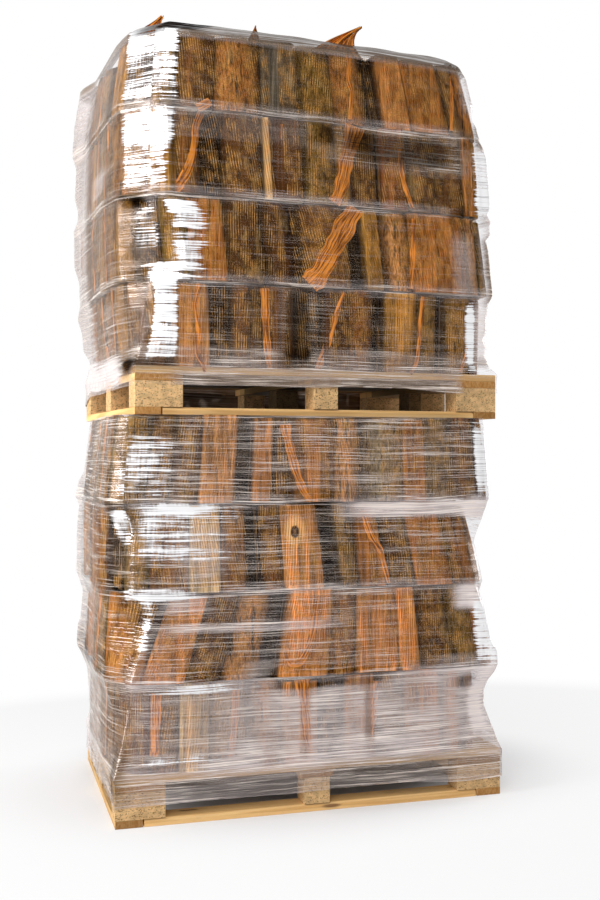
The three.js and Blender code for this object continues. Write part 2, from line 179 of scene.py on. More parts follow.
def linear(hex_colour: int) -> Colour:
    """A hex colour as linear light.

    Args:
        hex_colour: red, green and blue as one number, as in a style sheet.

    Returns:
        The three channels as shaders want them.
    """
    channels = [((hex_colour >> shift) & 255) / 255 for shift in (16, 8, 0)]
    return tuple(c / 12.92 if c <= 0.04045 else ((c + 0.055) / 1.055) ** 2.4 for c in channels)


def cloud(x: float, y: float, z: float, seed: Vector = Vector()) -> float:
    """Smooth noise at a place, from about -1 to 1."""
    return noise.noise(seed + Vector((x, y, z)))


def smooth_step(low: float, high: float, value: float) -> float:
    """A soft step from 0 at low to 1 at high."""
    t = min(max((value - low) / (high - low), 0.0), 1.0)
    return t * t * (3 - 2 * t)


# --- Finishes ---


class Shader:
    """The node tree of a material or of the world, written as a chain of calls."""

    def __init__(self, owner: Material | bpy.types.World) -> None:
        """Empties the tree.

        Args:
            owner: whose tree it is.
        """
        owner.use_nodes = True
        self.owner = owner
        self.tree = owner.node_tree
        self.tree.nodes.clear()

    def node(self, kind: str, inputs: dict | None = None, **settings: object) -> bpy.types.Node:
        """Adds a node.

        Args:
            kind: the node's type, without its ShaderNode prefix.
            inputs: what each named or numbered input is set or linked to.
            settings: the node's own properties.

        Returns:
            The node.
        """
        made = self.tree.nodes.new("ShaderNode" + kind)
        for key, value in settings.items():
            setattr(made, key, value)
        for key, value in (inputs or {}).items():
            if isinstance(value, Socket):
                self.tree.links.new(value, made.inputs[key])
            else:
                made.inputs[key].default_value = value
        return made

    def attribute(self, name: str, socket: str = "Vector") -> Socket:
        """An output of a mesh attribute."""
        return self.node("Attribute", attribute_name=name).outputs[socket]

    def scaled(self, vector: Socket, scale: Sequence[float]) -> Socket:
        """A vector times a scale on each axis."""
        return self.node("Mapping", {"Vector": vector, "Scale": scale}).outputs[0]

    def noise(self, vector: Socket, scale: Sequence[float], detail: float = 3.0,
              roughness: float = 0.5) -> Socket:
        """Cloudy noise from 0 to 1, scaled on each axis."""
        inputs = {"Vector": self.scaled(vector, scale), "Scale": 1.0, "Detail": detail,
                  "Roughness": roughness}
        return self.node("TexNoise", inputs).outputs["Fac"]

    def math(self, operation: str, a: object, b: object = 0.5, clamp: bool = False) -> Socket:
        """One sum of two numbers."""
        return self.node("Math", {0: a, 1: b}, operation=operation, use_clamp=clamp).outputs[0]

    def plus(self, a: object, b: object) -> Socket:
        """Two numbers added."""
        return self.math("ADD", a, b)

    def times(self, a: object, b: object) -> Socket:
        """Two numbers multiplied."""
        return self.math("MULTIPLY", a, b)

    def vectors(self, operation: str, a: object, b: object) -> Socket:
        """One sum of two vectors."""
        return self.node("VectorMath", {0: a, 1: b}, operation=operation).outputs[0]

    def length(self, vector: Socket) -> Socket:
        """How long a vector is."""
        return self.node("VectorMath", {0: vector}, operation="LENGTH").outputs["Value"]

    def remap(self, value: Socket, low: float, high: float, to_low: float = 0.0,
              to_high: float = 1.0) -> Socket:
        """A value's range from low to high, stretched to another range with soft ends."""
        inputs = {"Value": value, "From Min": low, "From Max": high, "To Min": to_low,
                  "To Max": to_high}
        made = self.node("MapRange", inputs, interpolation_type="SMOOTHSTEP")
        return made.outputs["Result"]

    def dimmed(self, colour: object, *levels: Socket) -> Socket:
        """A colour made lighter or darker by several levels, where 1 leaves it alone."""
        for level in levels:
            inputs = {0: colour, "Scale": level}
            colour = self.node("VectorMath", inputs, operation="SCALE").outputs[0]
        return colour

    def blend(self, factor: object, a: object, b: object) -> Socket:
        """Two colours mixed by a factor."""
        a, b = (c if isinstance(c, Socket) else (*c, 1.0) for c in (a, b))
        return self.node("Mix", {0: factor, 6: a, 7: b}, data_type="RGBA").outputs[2]

    def mixed(self, factor: object, a: bpy.types.Node, b: bpy.types.Node) -> bpy.types.Node:
        """Two shaders mixed by a factor."""
        return self.node("MixShader", {0: factor, 1: a.outputs[0], 2: b.outputs[0]})

    def seen(self) -> Socket:
        """1 for what shows directly, in a reflection or through glass, and 0 for other light."""
        path = self.node("LightPath")
        seen = path.outputs["Is Camera Ray"]
        for ray in ("Is Glossy Ray", "Is Transmission Ray"):
            seen = self.math("MAXIMUM", seen, path.outputs[ray])
        return seen

    def bump(self, height: Socket, distance: float, strength: float = 1.0) -> Socket:
        """Surface relief from a height."""
        inputs = {"Height": height, "Distance": distance, "Strength": strength}
        return self.node("Bump", inputs).outputs["Normal"]

    def finish(self, surface: bpy.types.Node) -> Material:
        """Puts a shader on the output and hands over the material."""
        self.node("OutputMaterial", {"Surface": surface.outputs[0]})
        return self.owner


@dataclass(frozen=True)
class Firewood:
    """Split logs: torn golden fibres on the faces, and fissured bark on the round sides."""

    ring_pitch: float = 0.0032
    fresh: Colour = (1.0, 0.60, 0.24)
    dark_knot: Colour = (0.045, 0.02, 0.01)
    knot_crack: Colour = (0.05, 0.02, 0.008)
    knot_heart: Colour = (0.30, 0.17, 0.09)
    fissure: Colour = (0.035, 0.022, 0.012)
    lichen: Colour = (0.62, 0.42, 0.16)
    late_ring: Colour = (0.36, 0.21, 0.10)
    early_ring: Colour = (0.66, 0.46, 0.26)
    end_crack: Colour = (0.10, 0.05, 0.025)

    def material(self) -> Material:
        """Builds the material.

        Returns:
            The material, which reads the attributes that WoodMarks names.
        """
        s = Shader(bpy.data.materials.new("firewood"))
        grain = s.attribute("grain")
        tint = s.attribute("tint", "Color")
        bark = s.attribute("bark", "Fac")
        fibres = s.noise(grain, (190, 190, 5), 4.0, 0.65)
        streaks = s.noise(grain, (44, 44, 2.4), 3.0, 0.6)
        stains = s.noise(grain, (9, 9, 3), 2.0, 0.5)
        split = s.dimmed(tint, s.remap(fibres, 0.32, 0.68, 0.5, 1.35),
                         s.remap(streaks, 0.34, 0.6, 0.5, 1.15),
                         s.remap(stains, 0.3, 0.7, 0.52, 1.22))
        cells = s.node("TexVoronoi", {"Vector": s.scaled(grain, (8, 8, 3.6)), "Scale": 1.0})
        small_knots = s.remap(cells.outputs["Distance"], 0.13, 0.07, 0.0, 0.9)
        split = s.blend(small_knots, split, self.dark_knot)
        pale = s.dimmed(self.fresh, s.remap(streaks, 0.3, 0.6, 0.6, 1.15))
        split = s.blend(s.remap(s.attribute("fresh", "Fac"), 0.835, 0.85), split, pale)
        away = s.length(s.scaled(s.attribute("knot"), (1, 1, 0.7)))
        away = s.plus(away, s.times(stains, 0.012))
        split = s.blend(s.remap(away, 0.046, 0.026, 0.0, 0.85), split, pale)
        split = s.blend(s.remap(away, 0.021, 0.017), split, self.knot_crack)
        split = s.blend(s.remap(away, 0.013, 0.009, 0.0, 0.7), split, self.knot_heart)
        ridges = s.noise(grain, (80, 80, 12), 4.0, 0.62)
        crack = s.remap(ridges, 0.34, 0.46)
        scale = s.noise(grain, (170, 170, 60), 3.0)
        rough_bark = s.dimmed(tint, s.remap(scale, 0.3, 0.7, 0.4, 1.1),
                              s.remap(stains, 0.3, 0.7, 0.55, 1.1))
        rough_bark = s.blend(crack, self.fissure, rough_bark)
        lichen = s.remap(s.noise(grain, (24, 24, 14), 4.0), 0.54, 0.68, 0.0, 0.4)
        pale_bark = s.dimmed(self.lichen, s.remap(fibres, 0.3, 0.7, 0.4, 1.3))
        rough_bark = s.blend(lichen, rough_bark, pale_bark)
        side = s.blend(bark, split, rough_bark)
        colour = s.blend(s.attribute("end", "Fac"), side, self.sawn_end(s, grain))
        shade = s.math("SUBTRACT", 1.0, s.times(s.attribute("shade", "Fac"), 0.93))
        height = s.node("Mix", {0: bark, 2: s.plus(fibres, s.times(streaks, 2.2)),
                                3: s.plus(s.times(crack, 2.6), scale)}, data_type="FLOAT")
        return s.finish(s.node("BsdfPrincipled", {
            "Base Color": s.dimmed(colour, shade),
            "Roughness": s.remap(fibres, 0.2, 0.8, 0.7, 0.9),
            "Specular IOR Level": 0.03,
            "Normal": s.bump(height.outputs[0], 0.0022, 0.8),
        }))

    def sawn_end(self, s: Shader, grain: Socket) -> Socket:
        """Colours a log's sawn end, with rings round its pith and drying cracks.

        Args:
            s: the material's tree.
            grain: the place across and along the grain.

        Returns:
            The colour.
        """
        axes = s.node("SeparateXYZ", {0: grain})
        squares = [s.math("POWER", axes.outputs[axis], 2.0) for axis in (0, 1)]
        radius = s.math("SQRT", s.plus(*squares))
        wander = s.times(s.noise(grain, (26, 26, 4), 2.0), 0.006)
        turn = s.times(s.plus(radius, wander), 2 * math.pi / self.ring_pitch)
        face = s.blend(s.remap(s.math("SINE", turn), -1.0, 0.7), self.late_ring, self.early_ring)
        checks = s.remap(s.noise(grain, (90, 90, 3), 3.0), 0.36, 0.3)
        return s.blend(checks, face, self.end_crack)


@dataclass(frozen=True)
class SawnPine:
    """Sawn softwood: pale golden boards with dark latewood lines, knots and handling marks."""

    early: Colour = (1.0, 0.62, 0.25)
    late: Colour = (0.76, 0.40, 0.12)
    fibre: Colour = (0.90, 0.66, 0.36)
    knot: Colour = (0.20, 0.085, 0.03)
    grime: Colour = (0.34, 0.24, 0.14)
    cut_end: Colour = (0.42, 0.19, 0.045)
    end_ring: Colour = (0.54, 0.29, 0.10)

    def material(self) -> Material:
        """Builds the material.

        Returns:
            The material, which reads the grain, tone, light and end attributes of a board.
        """
        s = Shader(bpy.data.materials.new("sawn_pine"))
        grain = s.attribute("grain")
        warp = s.noise(grain, (1.4, 9, 9), 2.0)
        wave = s.node("TexWave", {"Vector": s.scaled(grain, (0.35, 30, 30)), "Scale": 1.0,
                                  "Distortion": 5.0, "Detail": 3.0, "Detail Scale": 1.4,
                                  "Phase Offset": s.times(warp, 22.0)}, bands_direction="Y")
        lines = wave.outputs["Fac"]
        fibres = s.noise(grain, (5, 260, 260), 3.0)
        board = s.blend(s.remap(lines, 0.25, 0.95, 0.0, 0.75), self.early, self.late)
        board = s.blend(s.remap(fibres, 0.3, 0.75, 0.0, 0.3), board, self.fibre)
        cells = s.node("TexVoronoi", {"Vector": s.scaled(grain, (3.1, 14, 14)), "Scale": 1.0})
        board = s.blend(s.remap(cells.outputs["Distance"], 0.13, 0.07, 0.0, 0.85), board,
                        self.knot)
        dirt = s.remap(s.noise(grain, (5, 16, 16), 5.0, 0.6), 0.52, 0.74, 0.0, 0.4)
        board = s.blend(dirt, board, self.grime)
        rings = s.noise(grain, (4, 190, 90), 2.0)
        cut = s.blend(s.remap(rings, 0.35, 0.65), self.cut_end, self.end_ring)
        colour = s.blend(s.attribute("end", "Fac"), board, cut)
        tone = s.remap(s.attribute("tone", "Fac"), 0.0, 1.0, 0.8, 1.12)
        return s.finish(s.node("BsdfPrincipled", {
            "Base Color": s.dimmed(colour, tone, s.attribute("light", "Fac")),
            "Roughness": s.remap(fibres, 0.2, 0.8, 0.62, 0.85),
            "Specular IOR Level": 0.25,
            "Normal": s.bump(s.plus(fibres, lines), 0.0006, 0.7),
        }))


@dataclass(frozen=True)
class PressedChips:
    """Blocks pressed from glued wood chips: a mosaic of pale and dark flakes."""

    flakes: tuple[float, float, float] = (300, 400, 480)
    pale: Colour = (1.0, 0.65, 0.31)
    dark: Colour = (0.34, 0.18, 0.07)
    glue: Colour = (0.20, 0.11, 0.05)

    def material(self) -> Material:
        """Builds the material.

        Returns:
            The material, which reads the grain and light attributes of a block.
        """
        s = Shader(bpy.data.materials.new("pressed_chips"))
        grain = s.attribute("grain")
        inputs = {"Vector": s.scaled(grain, self.flakes), "Scale": 1.0}
        flake = s.node("TexVoronoi", inputs)
        edge = s.node("TexVoronoi", inputs, feature="DISTANCE_TO_EDGE").outputs["Distance"]
        value = s.node("SeparateColor", {0: flake.outputs["Color"]}).outputs[0]
        colour = s.blend(s.remap(value, 0.78, 0.97), self.pale, self.dark)
        cloud = s.noise(grain, (40, 60, 60), 4.0, 0.6)
        colour = s.dimmed(colour, s.remap(cloud, 0.3, 0.7, 0.78, 1.14),
                          s.attribute("light", "Fac"))
        colour = s.blend(s.remap(edge, 0.05, 0.0, 0.0, 0.3), colour, self.glue)
        return s.finish(s.node("BsdfPrincipled", {
            "Base Color": colour,
            "Roughness": 0.86,
            "Specular IOR Level": 0.2,
            "Normal": s.bump(s.plus(value, s.remap(edge, 0.0, 0.1)), 0.0009, 0.8),
        }))


@dataclass(frozen=True)
class Netting:
    """Knitted net: upright chains of loops joined by thin staggered cross threads."""

    chain_pitch: float = 0.0078
    cross_pitch: float = 0.0064
    colour: Colour = (0.78, 0.40, 0.10)
    shade: Colour = (0.16, 0.075, 0.022)
    stain: Colour = (0.85, 0.55, 0.24)
    thinness: float = 0.25

    def material(self) -> Material:
        """Builds the material.

        Returns:
            The material, which reads the net's own UV map in metres and its hollow attribute.
        """
        s = Shader(bpy.data.materials.new("netting"))
        place = s.node("UVMap", uv_map="weave").outputs[0]
        thread = self.threads(s, place)
        slack = s.noise(place, (30, 18, 1), 3.0, 0.6)
        # painted glints on single threads, and patches of painted shade where the slack noise is low
        glint = s.noise(place, (300, 210, 1), 2.0)
        tone = s.blend(s.remap(slack, 0.34, 0.66), self.shade, self.colour)
        yarn = s.node("BsdfPrincipled", {
            "Base Color": s.dimmed(tone, s.remap(glint, 0.32, 0.68, 0.55, 1.5)),
            "Roughness": 0.5,
            "Specular IOR Level": 0.05,
            "Normal": s.bump(thread, 0.0008),
        })
        tinted = s.node("BsdfTransparent", {"Color": (*self.stain, 1.0)})
        yarn = s.mixed(self.thinness, yarn, tinted)
        cover = s.times(s.remap(thread, 0.46, 0.94), s.remap(slack, 0.25, 0.6, 0.6, 0.95))
        held_off = s.math("SUBTRACT", 1.0, s.times(s.attribute("hollow", "Fac"), 0.85))
        return s.finish(s.mixed(s.times(cover, held_off), s.node("BsdfTransparent"), yarn))

    def threads(self, s: Shader, place: Socket) -> Socket:
        """Draws the knitted threads.

        Args:
            s: the material's tree.
            place: the net's UV, in metres.

        Returns:
            How near a thread's middle each place is, from 0 to 1.
        """
        drift = s.node("TexNoise", {"Vector": place, "Scale": 8.0, "Detail": 2.0})
        shift = s.vectors("MULTIPLY", drift.outputs["Color"], (0.012, 0.020, 0.0))
        axes = s.node("SeparateXYZ", {0: s.vectors("ADD", place, shift)})
        along, up = axes.outputs[0], axes.outputs[1]
        chain = s.remap(s.math("PINGPONG", along, self.chain_pitch / 2), 0.0,
                        0.40 * self.chain_pitch, 1.0, 0.0)
        column = s.math("ROUND", s.math("DIVIDE", along, self.chain_pitch))
        lift = s.times(column, self.cross_pitch / 2)
        cross = s.remap(s.math("PINGPONG", s.plus(up, lift), self.cross_pitch / 2), 0.0,
                        0.34 * self.cross_pitch, 1.0, 0.0)
        stretched = s.remap(s.noise(place, (6, 6, 6), 2.0), 0.36, 0.55, 0.6, 1.0)
        return s.math("MAXIMUM", chain, s.times(cross, stretched))


@dataclass(frozen=True)
class GatheredNet:
    """Net drawn together into a rope of folds: almost closed, bright, with lines along it and
    painted shade in its folds.
    """

    bright: Colour = (0.86, 0.30, 0.04)
    # painted shade in the folds; bright is the net's own orange
    deep: Colour = (0.16, 0.045, 0.008)

    def material(self) -> Material:
        """Builds the material.

        Returns:
            The material, which reads the strand's own UV map in metres.
        """
        s = Shader(bpy.data.materials.new("gathered_net"))
        place = s.node("UVMap", uv_map="weave").outputs[0]
        folds = s.noise(place, (230, 13, 1), 3.0, 0.6)
        holes = s.noise(place, (420, 160, 1), 2.0)
        yarn = s.node("BsdfPrincipled", {
            "Base Color": s.blend(s.remap(folds, 0.38, 0.60), self.deep, self.bright),
            "Roughness": 0.45,
            "Specular IOR Level": 0.08,
            "Normal": s.bump(folds, 0.003),
        })
        cover = s.remap(s.plus(holes, s.times(folds, 0.5)), 0.42, 0.62, 0.3, 1.0)
        return s.finish(s.mixed(cover, s.node("BsdfTransparent"), yarn))


@dataclass(frozen=True)
class StretchFilm:
    """Clear film in many layers: a mirror where it is flat, white along its stretch lines, which are
    partly painted reflections.
    """

    milk: Colour = (0.80, 0.70, 0.68)
    # the stretch lines' colour: milky creases of the film, partly painted reflections of light
    line: Colour = (1.0, 0.88, 0.78)
    # painted shade: the darker veil where the film covers shade
    dusk: Colour = (0.24, 0.165, 0.115)
    # painted highlight: the white of the film's glare
    gleam: Colour = (1.0, 1.0, 1.02)
    # painted shade: the near-black diffuse that the film turns to where its painted shade passes 1
    deep: Colour = (0.012, 0.008, 0.006)
    clear: Colour = (0.975, 0.975, 0.985)

    def material(self) -> Material:
        """Builds the material.

        Returns:
            The material, which reads the film's UV map in metres and its four attributes.
        """
        s = Shader(bpy.data.materials.new("stretch_film"))
        haze, streak, glare, dusk = (s.attribute(name, "Fac")
                                     for name in ("haze", "streak", "glare", "dusk"))
        place = s.node("UVMap", uv_map="weave").outputs[0]
        sway = s.node("TexNoise", {"Vector": s.scaled(place, (3, 4, 1)), "Scale": 1.0,
                                   "Detail": 2.0})
        swayed = s.vectors("MULTIPLY", sway.outputs["Color"], (0.0, 0.018, 0.0))
        moved = s.vectors("ADD", place, swayed)
        fine = s.noise(moved, (2.8, 185, 1), 4.0, 0.68)
        broad = s.noise(moved, (1.8, 58, 1), 3.0, 0.6)
        patch = s.noise(place, (6, 9, 1), 3.0, 0.6)
        ribs = s.noise(place, (140, 16, 1), 2.0)
        hair = s.noise(moved, (3.2, 330, 1), 2.0, 0.6)
        # stretch lines: partly the film's own milky creases, partly painted reflections
        lines = s.math("MAXIMUM", s.remap(fine, 0.54, 0.66), s.remap(hair, 0.54, 0.66, 0.0, 0.9))
        lines = s.times(lines, s.remap(patch, 0.3, 0.6, 0.4, 1.0))
        bands = s.remap(broad, 0.58, 0.78)
        marks = s.times(s.plus(s.times(lines, 0.9), s.times(bands, 0.35)), streak)
        veil = s.times(s.times(haze, s.remap(patch, 0.2, 0.75, 0.75, 1.2)),
                       s.remap(fine, 0.36, 0.62, 0.62, 1.3))
        torn = -2.9
        for part, weight in ((fine, 2.9), (patch, 1.5), (broad, 0.9), (ribs, 0.5)):
            torn = s.plus(torn, s.times(part, weight))
        # painted highlight: torn white patches where the mesh asks for painted glare
        white = s.remap(s.plus(glare, torn), 0.32, 0.72)
        white = s.times(white, s.remap(glare, 0.02, 0.3))
        # partly the film's haze seen slantwise, partly a painted sheen at grazing angles
        rim = s.node("LayerWeight", {"Blend": 0.22}).outputs["Facing"]
        thin = s.plus(s.plus(marks, veil), s.times(s.math("POWER", rim, 2.2), 0.7))
        cover = s.math("MAXIMUM", thin, s.times(white, 0.97), clamp=True)
        # the veil darkens towards the colour of painted shade
        colour = s.blend(dusk, self.milk, self.dusk)
        colour = s.blend(s.times(lines, s.remap(streak, 0.0, 0.4)), colour, self.line)
        # the painted highlight's colour, lighter along the fine lines
        gleam = s.dimmed(self.gleam, s.remap(s.plus(fine, s.times(hair, 0.6)),
                                             0.58, 0.82, 0.42, 1.0))
        surface = s.node("BsdfPrincipled", {
            "Base Color": s.blend(white, colour, gleam),
            "Roughness": 0.2,
            "Metallic": 0.35,
            "Specular IOR Level": 0.9,
            "Normal": s.bump(s.plus(s.times(fine, 0.35), broad), 0.0022, 0.5),
        })
        deep = s.node("BsdfDiffuse", {"Color": (*self.deep, 1.0)})
        surface = s.mixed(s.remap(dusk, 1.0, 2.0), surface, deep)
        clear = s.node("BsdfTransparent", {"Color": (*self.clear, 1.0)})
        return s.finish(s.mixed(cover, clear, surface))


# --- Places and meshes ---


@dataclass(frozen=True)
class Place:
    """Where a load stands."""

    x: float = 0.0
    y: float = 0.0
    z: float = 0.0
    turn: float = 0.0

    @property
    def matrix(self) -> Matrix:
        """The move from the load's own frame to the model's."""
        return Matrix.Translation((self.x, self.y, self.z)) @ Matrix.Rotation(self.turn, 4, "Z")


def in_scene(name: str, data: bpy.types.ID) -> Object:
    """A new object in the scene, from a mesh, a lamp or a camera."""
    made = bpy.data.objects.new(name, data)
    bpy.context.scene.collection.objects.link(made)
    return made


def faces_at(corners: Iterable[BMVert]) -> set[BMFace]:
    """The faces that meet at those corners that are still part of their mesh."""
    return {f for v in corners if v.is_valid for f in v.link_faces}


def scattered(rng: random.Random, reach: float, axes: int = 3) -> Vector:
    """A random place in a cube, or in a square at height 0."""
    return Vector([rng.uniform(0, reach) for _ in range(axes)] + [0.0] * (3 - axes))


def grid(bm: BMesh, columns: int, rows: int, place: Callable[[int, int], Vector],
         weave: Callable[[int, int], tuple[float, float]] | None = None,
         levels: Callable[[int, int], dict[str, float]] | None = None) -> list[BMVert]:
    """Adds a grid of cells and puts each of its corners in place.

    Args:
        bm: the mesh to add to.
        columns: how many cells run along.
        rows: how many cells run up.
        place: gives the point of a column and row.
        weave: gives the UV of a column and row.
        levels: gives the named attributes of a column and row.

    Returns:
        The new corners.
    """
    store = bm.verts.layers.float
    layers = {name: store.get(name) or store.new(name) for name in (levels(0, 0) if levels else {})}
    made = bmesh.ops.create_grid(bm, x_segments=columns, y_segments=rows, size=1.0)["verts"]
    spot = {v: (round((v.co.x + 1) / 2 * columns), round((v.co.y + 1) / 2 * rows)) for v in made}
    if weave is not None:
        layer = bm.loops.layers.uv.get("weave") or bm.loops.layers.uv.new("weave")
        for face in faces_at(made):
            for loop in face.loops:
                loop[layer].uv = weave(*spot[loop.vert])
    for v, (i, j) in spot.items():
        v.co = place(i, j)
        if levels is not None:
            for name, value in levels(i, j).items():
                v[layers[name]] = value
    return made


def piece(name: str, bm: BMesh, finish: Material, nodes: Iterable[str] = (),
          smooth: bool = True) -> Object:
    """Turns a mesh into a finished piece that rides on the model.

    Args:
        name: the piece's name.
        bm: its mesh, in the model's frame. It is freed.
        finish: its material.
        nodes: the model's nodes that it stands for.
        smooth: whether its faces are shaded smooth.

    Returns:
        The object.
    """
    mesh = bpy.data.meshes.new(name)
    for face in bm.faces:
        face.smooth = smooth
    bm.to_mesh(mesh)
    bm.free()
    made = in_scene(name, mesh)
    mesh.materials.append(finish)
    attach(made, "root")
    if nodes:
        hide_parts(*nodes)
    log.info("%s: %d faces", name, len(mesh.polygons))
    return made


@dataclass(frozen=True)
class Rim:
    """How far a layer's sides stand out past the pallet, and what is cut off its front corners."""

    left: float
    right: float
    front: float
    back: float
    front_left: tuple[float, float]
    front_right: tuple[float, float]

    @property
    def sides(self) -> tuple[float, float, float, float]:
        """Where the outline's left, right, front and back lie."""
        return (-PALLET_LENGTH / 2 - self.left, PALLET_LENGTH / 2 + self.right,
                -PALLET_WIDTH / 2 - self.front, PALLET_WIDTH / 2 + self.back)

    def box(self, inset: float) -> tuple[Vector2, Vector2]:
        """The lowest and highest corner of the box round the outline, drawn in by an inset."""
        left, right, front, back = self.sides
        return Vector((left + inset, front + inset)), Vector((right - inset, back - inset))

    def corners(self) -> list[Vector2]:
        """The outline's eight corners, anticlockwise from the left end of its front."""
        left, right, front, back = self.sides
        return [
            Vector((left + self.front_left[0], front)),
            Vector((right - self.front_right[0], front)),
            Vector((right, front + self.front_right[1])),
            Vector((right, back - CORNER_CUT)),
            Vector((right - CORNER_CUT, back)),
            Vector((left + CORNER_CUT, back)),
            Vector((left, back - CORNER_CUT)),
            Vector((left, front + self.front_left[1])),
        ]


@dataclass(frozen=True)
class LayerPlan:
    """One layer of bags: its rims, and the logs of its front from the left.

    The fresh arrises are the front logs whose left arris is pale, newly split wood. A knot is given
    as its front log, with shares of the log's width and of the layer's height.
    """

    foot: Rim
    head: Rim
    front: tuple[tuple[Face, float, Tone], ...]
    fresh_arrises: tuple[int, ...] = ()
    knot: tuple[int, float, float] | None = None


def inside_edge(corners: list[Vector2], edge: int, share: float, depth: float) -> Vector2:
    """Finds a point inside an outline.

    Args:
        corners: the outline.
        edge: which of its edges.
        share: the share of that edge's way.
        depth: how far inside the edge.

    Returns:
        The point.
    """
    start = corners[edge]
    run = corners[(edge + 1) % len(corners)] - start
    inward = Vector((-run.y, run.x)).normalized()
    return start + run * share + inward * depth


@dataclass
class Log:
    """A log that stands at the side of a layer."""

    edge: int
    face: Face
    tone: Tone
    start: float
    end: float
    section: list[tuple[float, float]]
    top: float = 0.0


class WoodMarks:
    """The attributes on a layer's mesh that the firewood's material reads."""

    def __init__(self, bm: BMesh) -> None:
        """Adds the attributes.

        Args:
            bm: the layer's mesh.
        """
        verts, faces = bm.verts.layers, bm.faces.layers
        self.grain = verts.float_vector.new("grain")  # the place across and along the grain
        self.shade = verts.float.new("shade")  # how deep it lies in the shade between the logs
        self.fresh = verts.float.new("fresh")  # the share of the way to a fresh arris
        self.knot = verts.float_vector.new("knot")  # the place against the knot's heart
        self.tint = faces.float_color.new("tint")
        self.bark = faces.float.new("bark")
        self.end = faces.float.new("end")


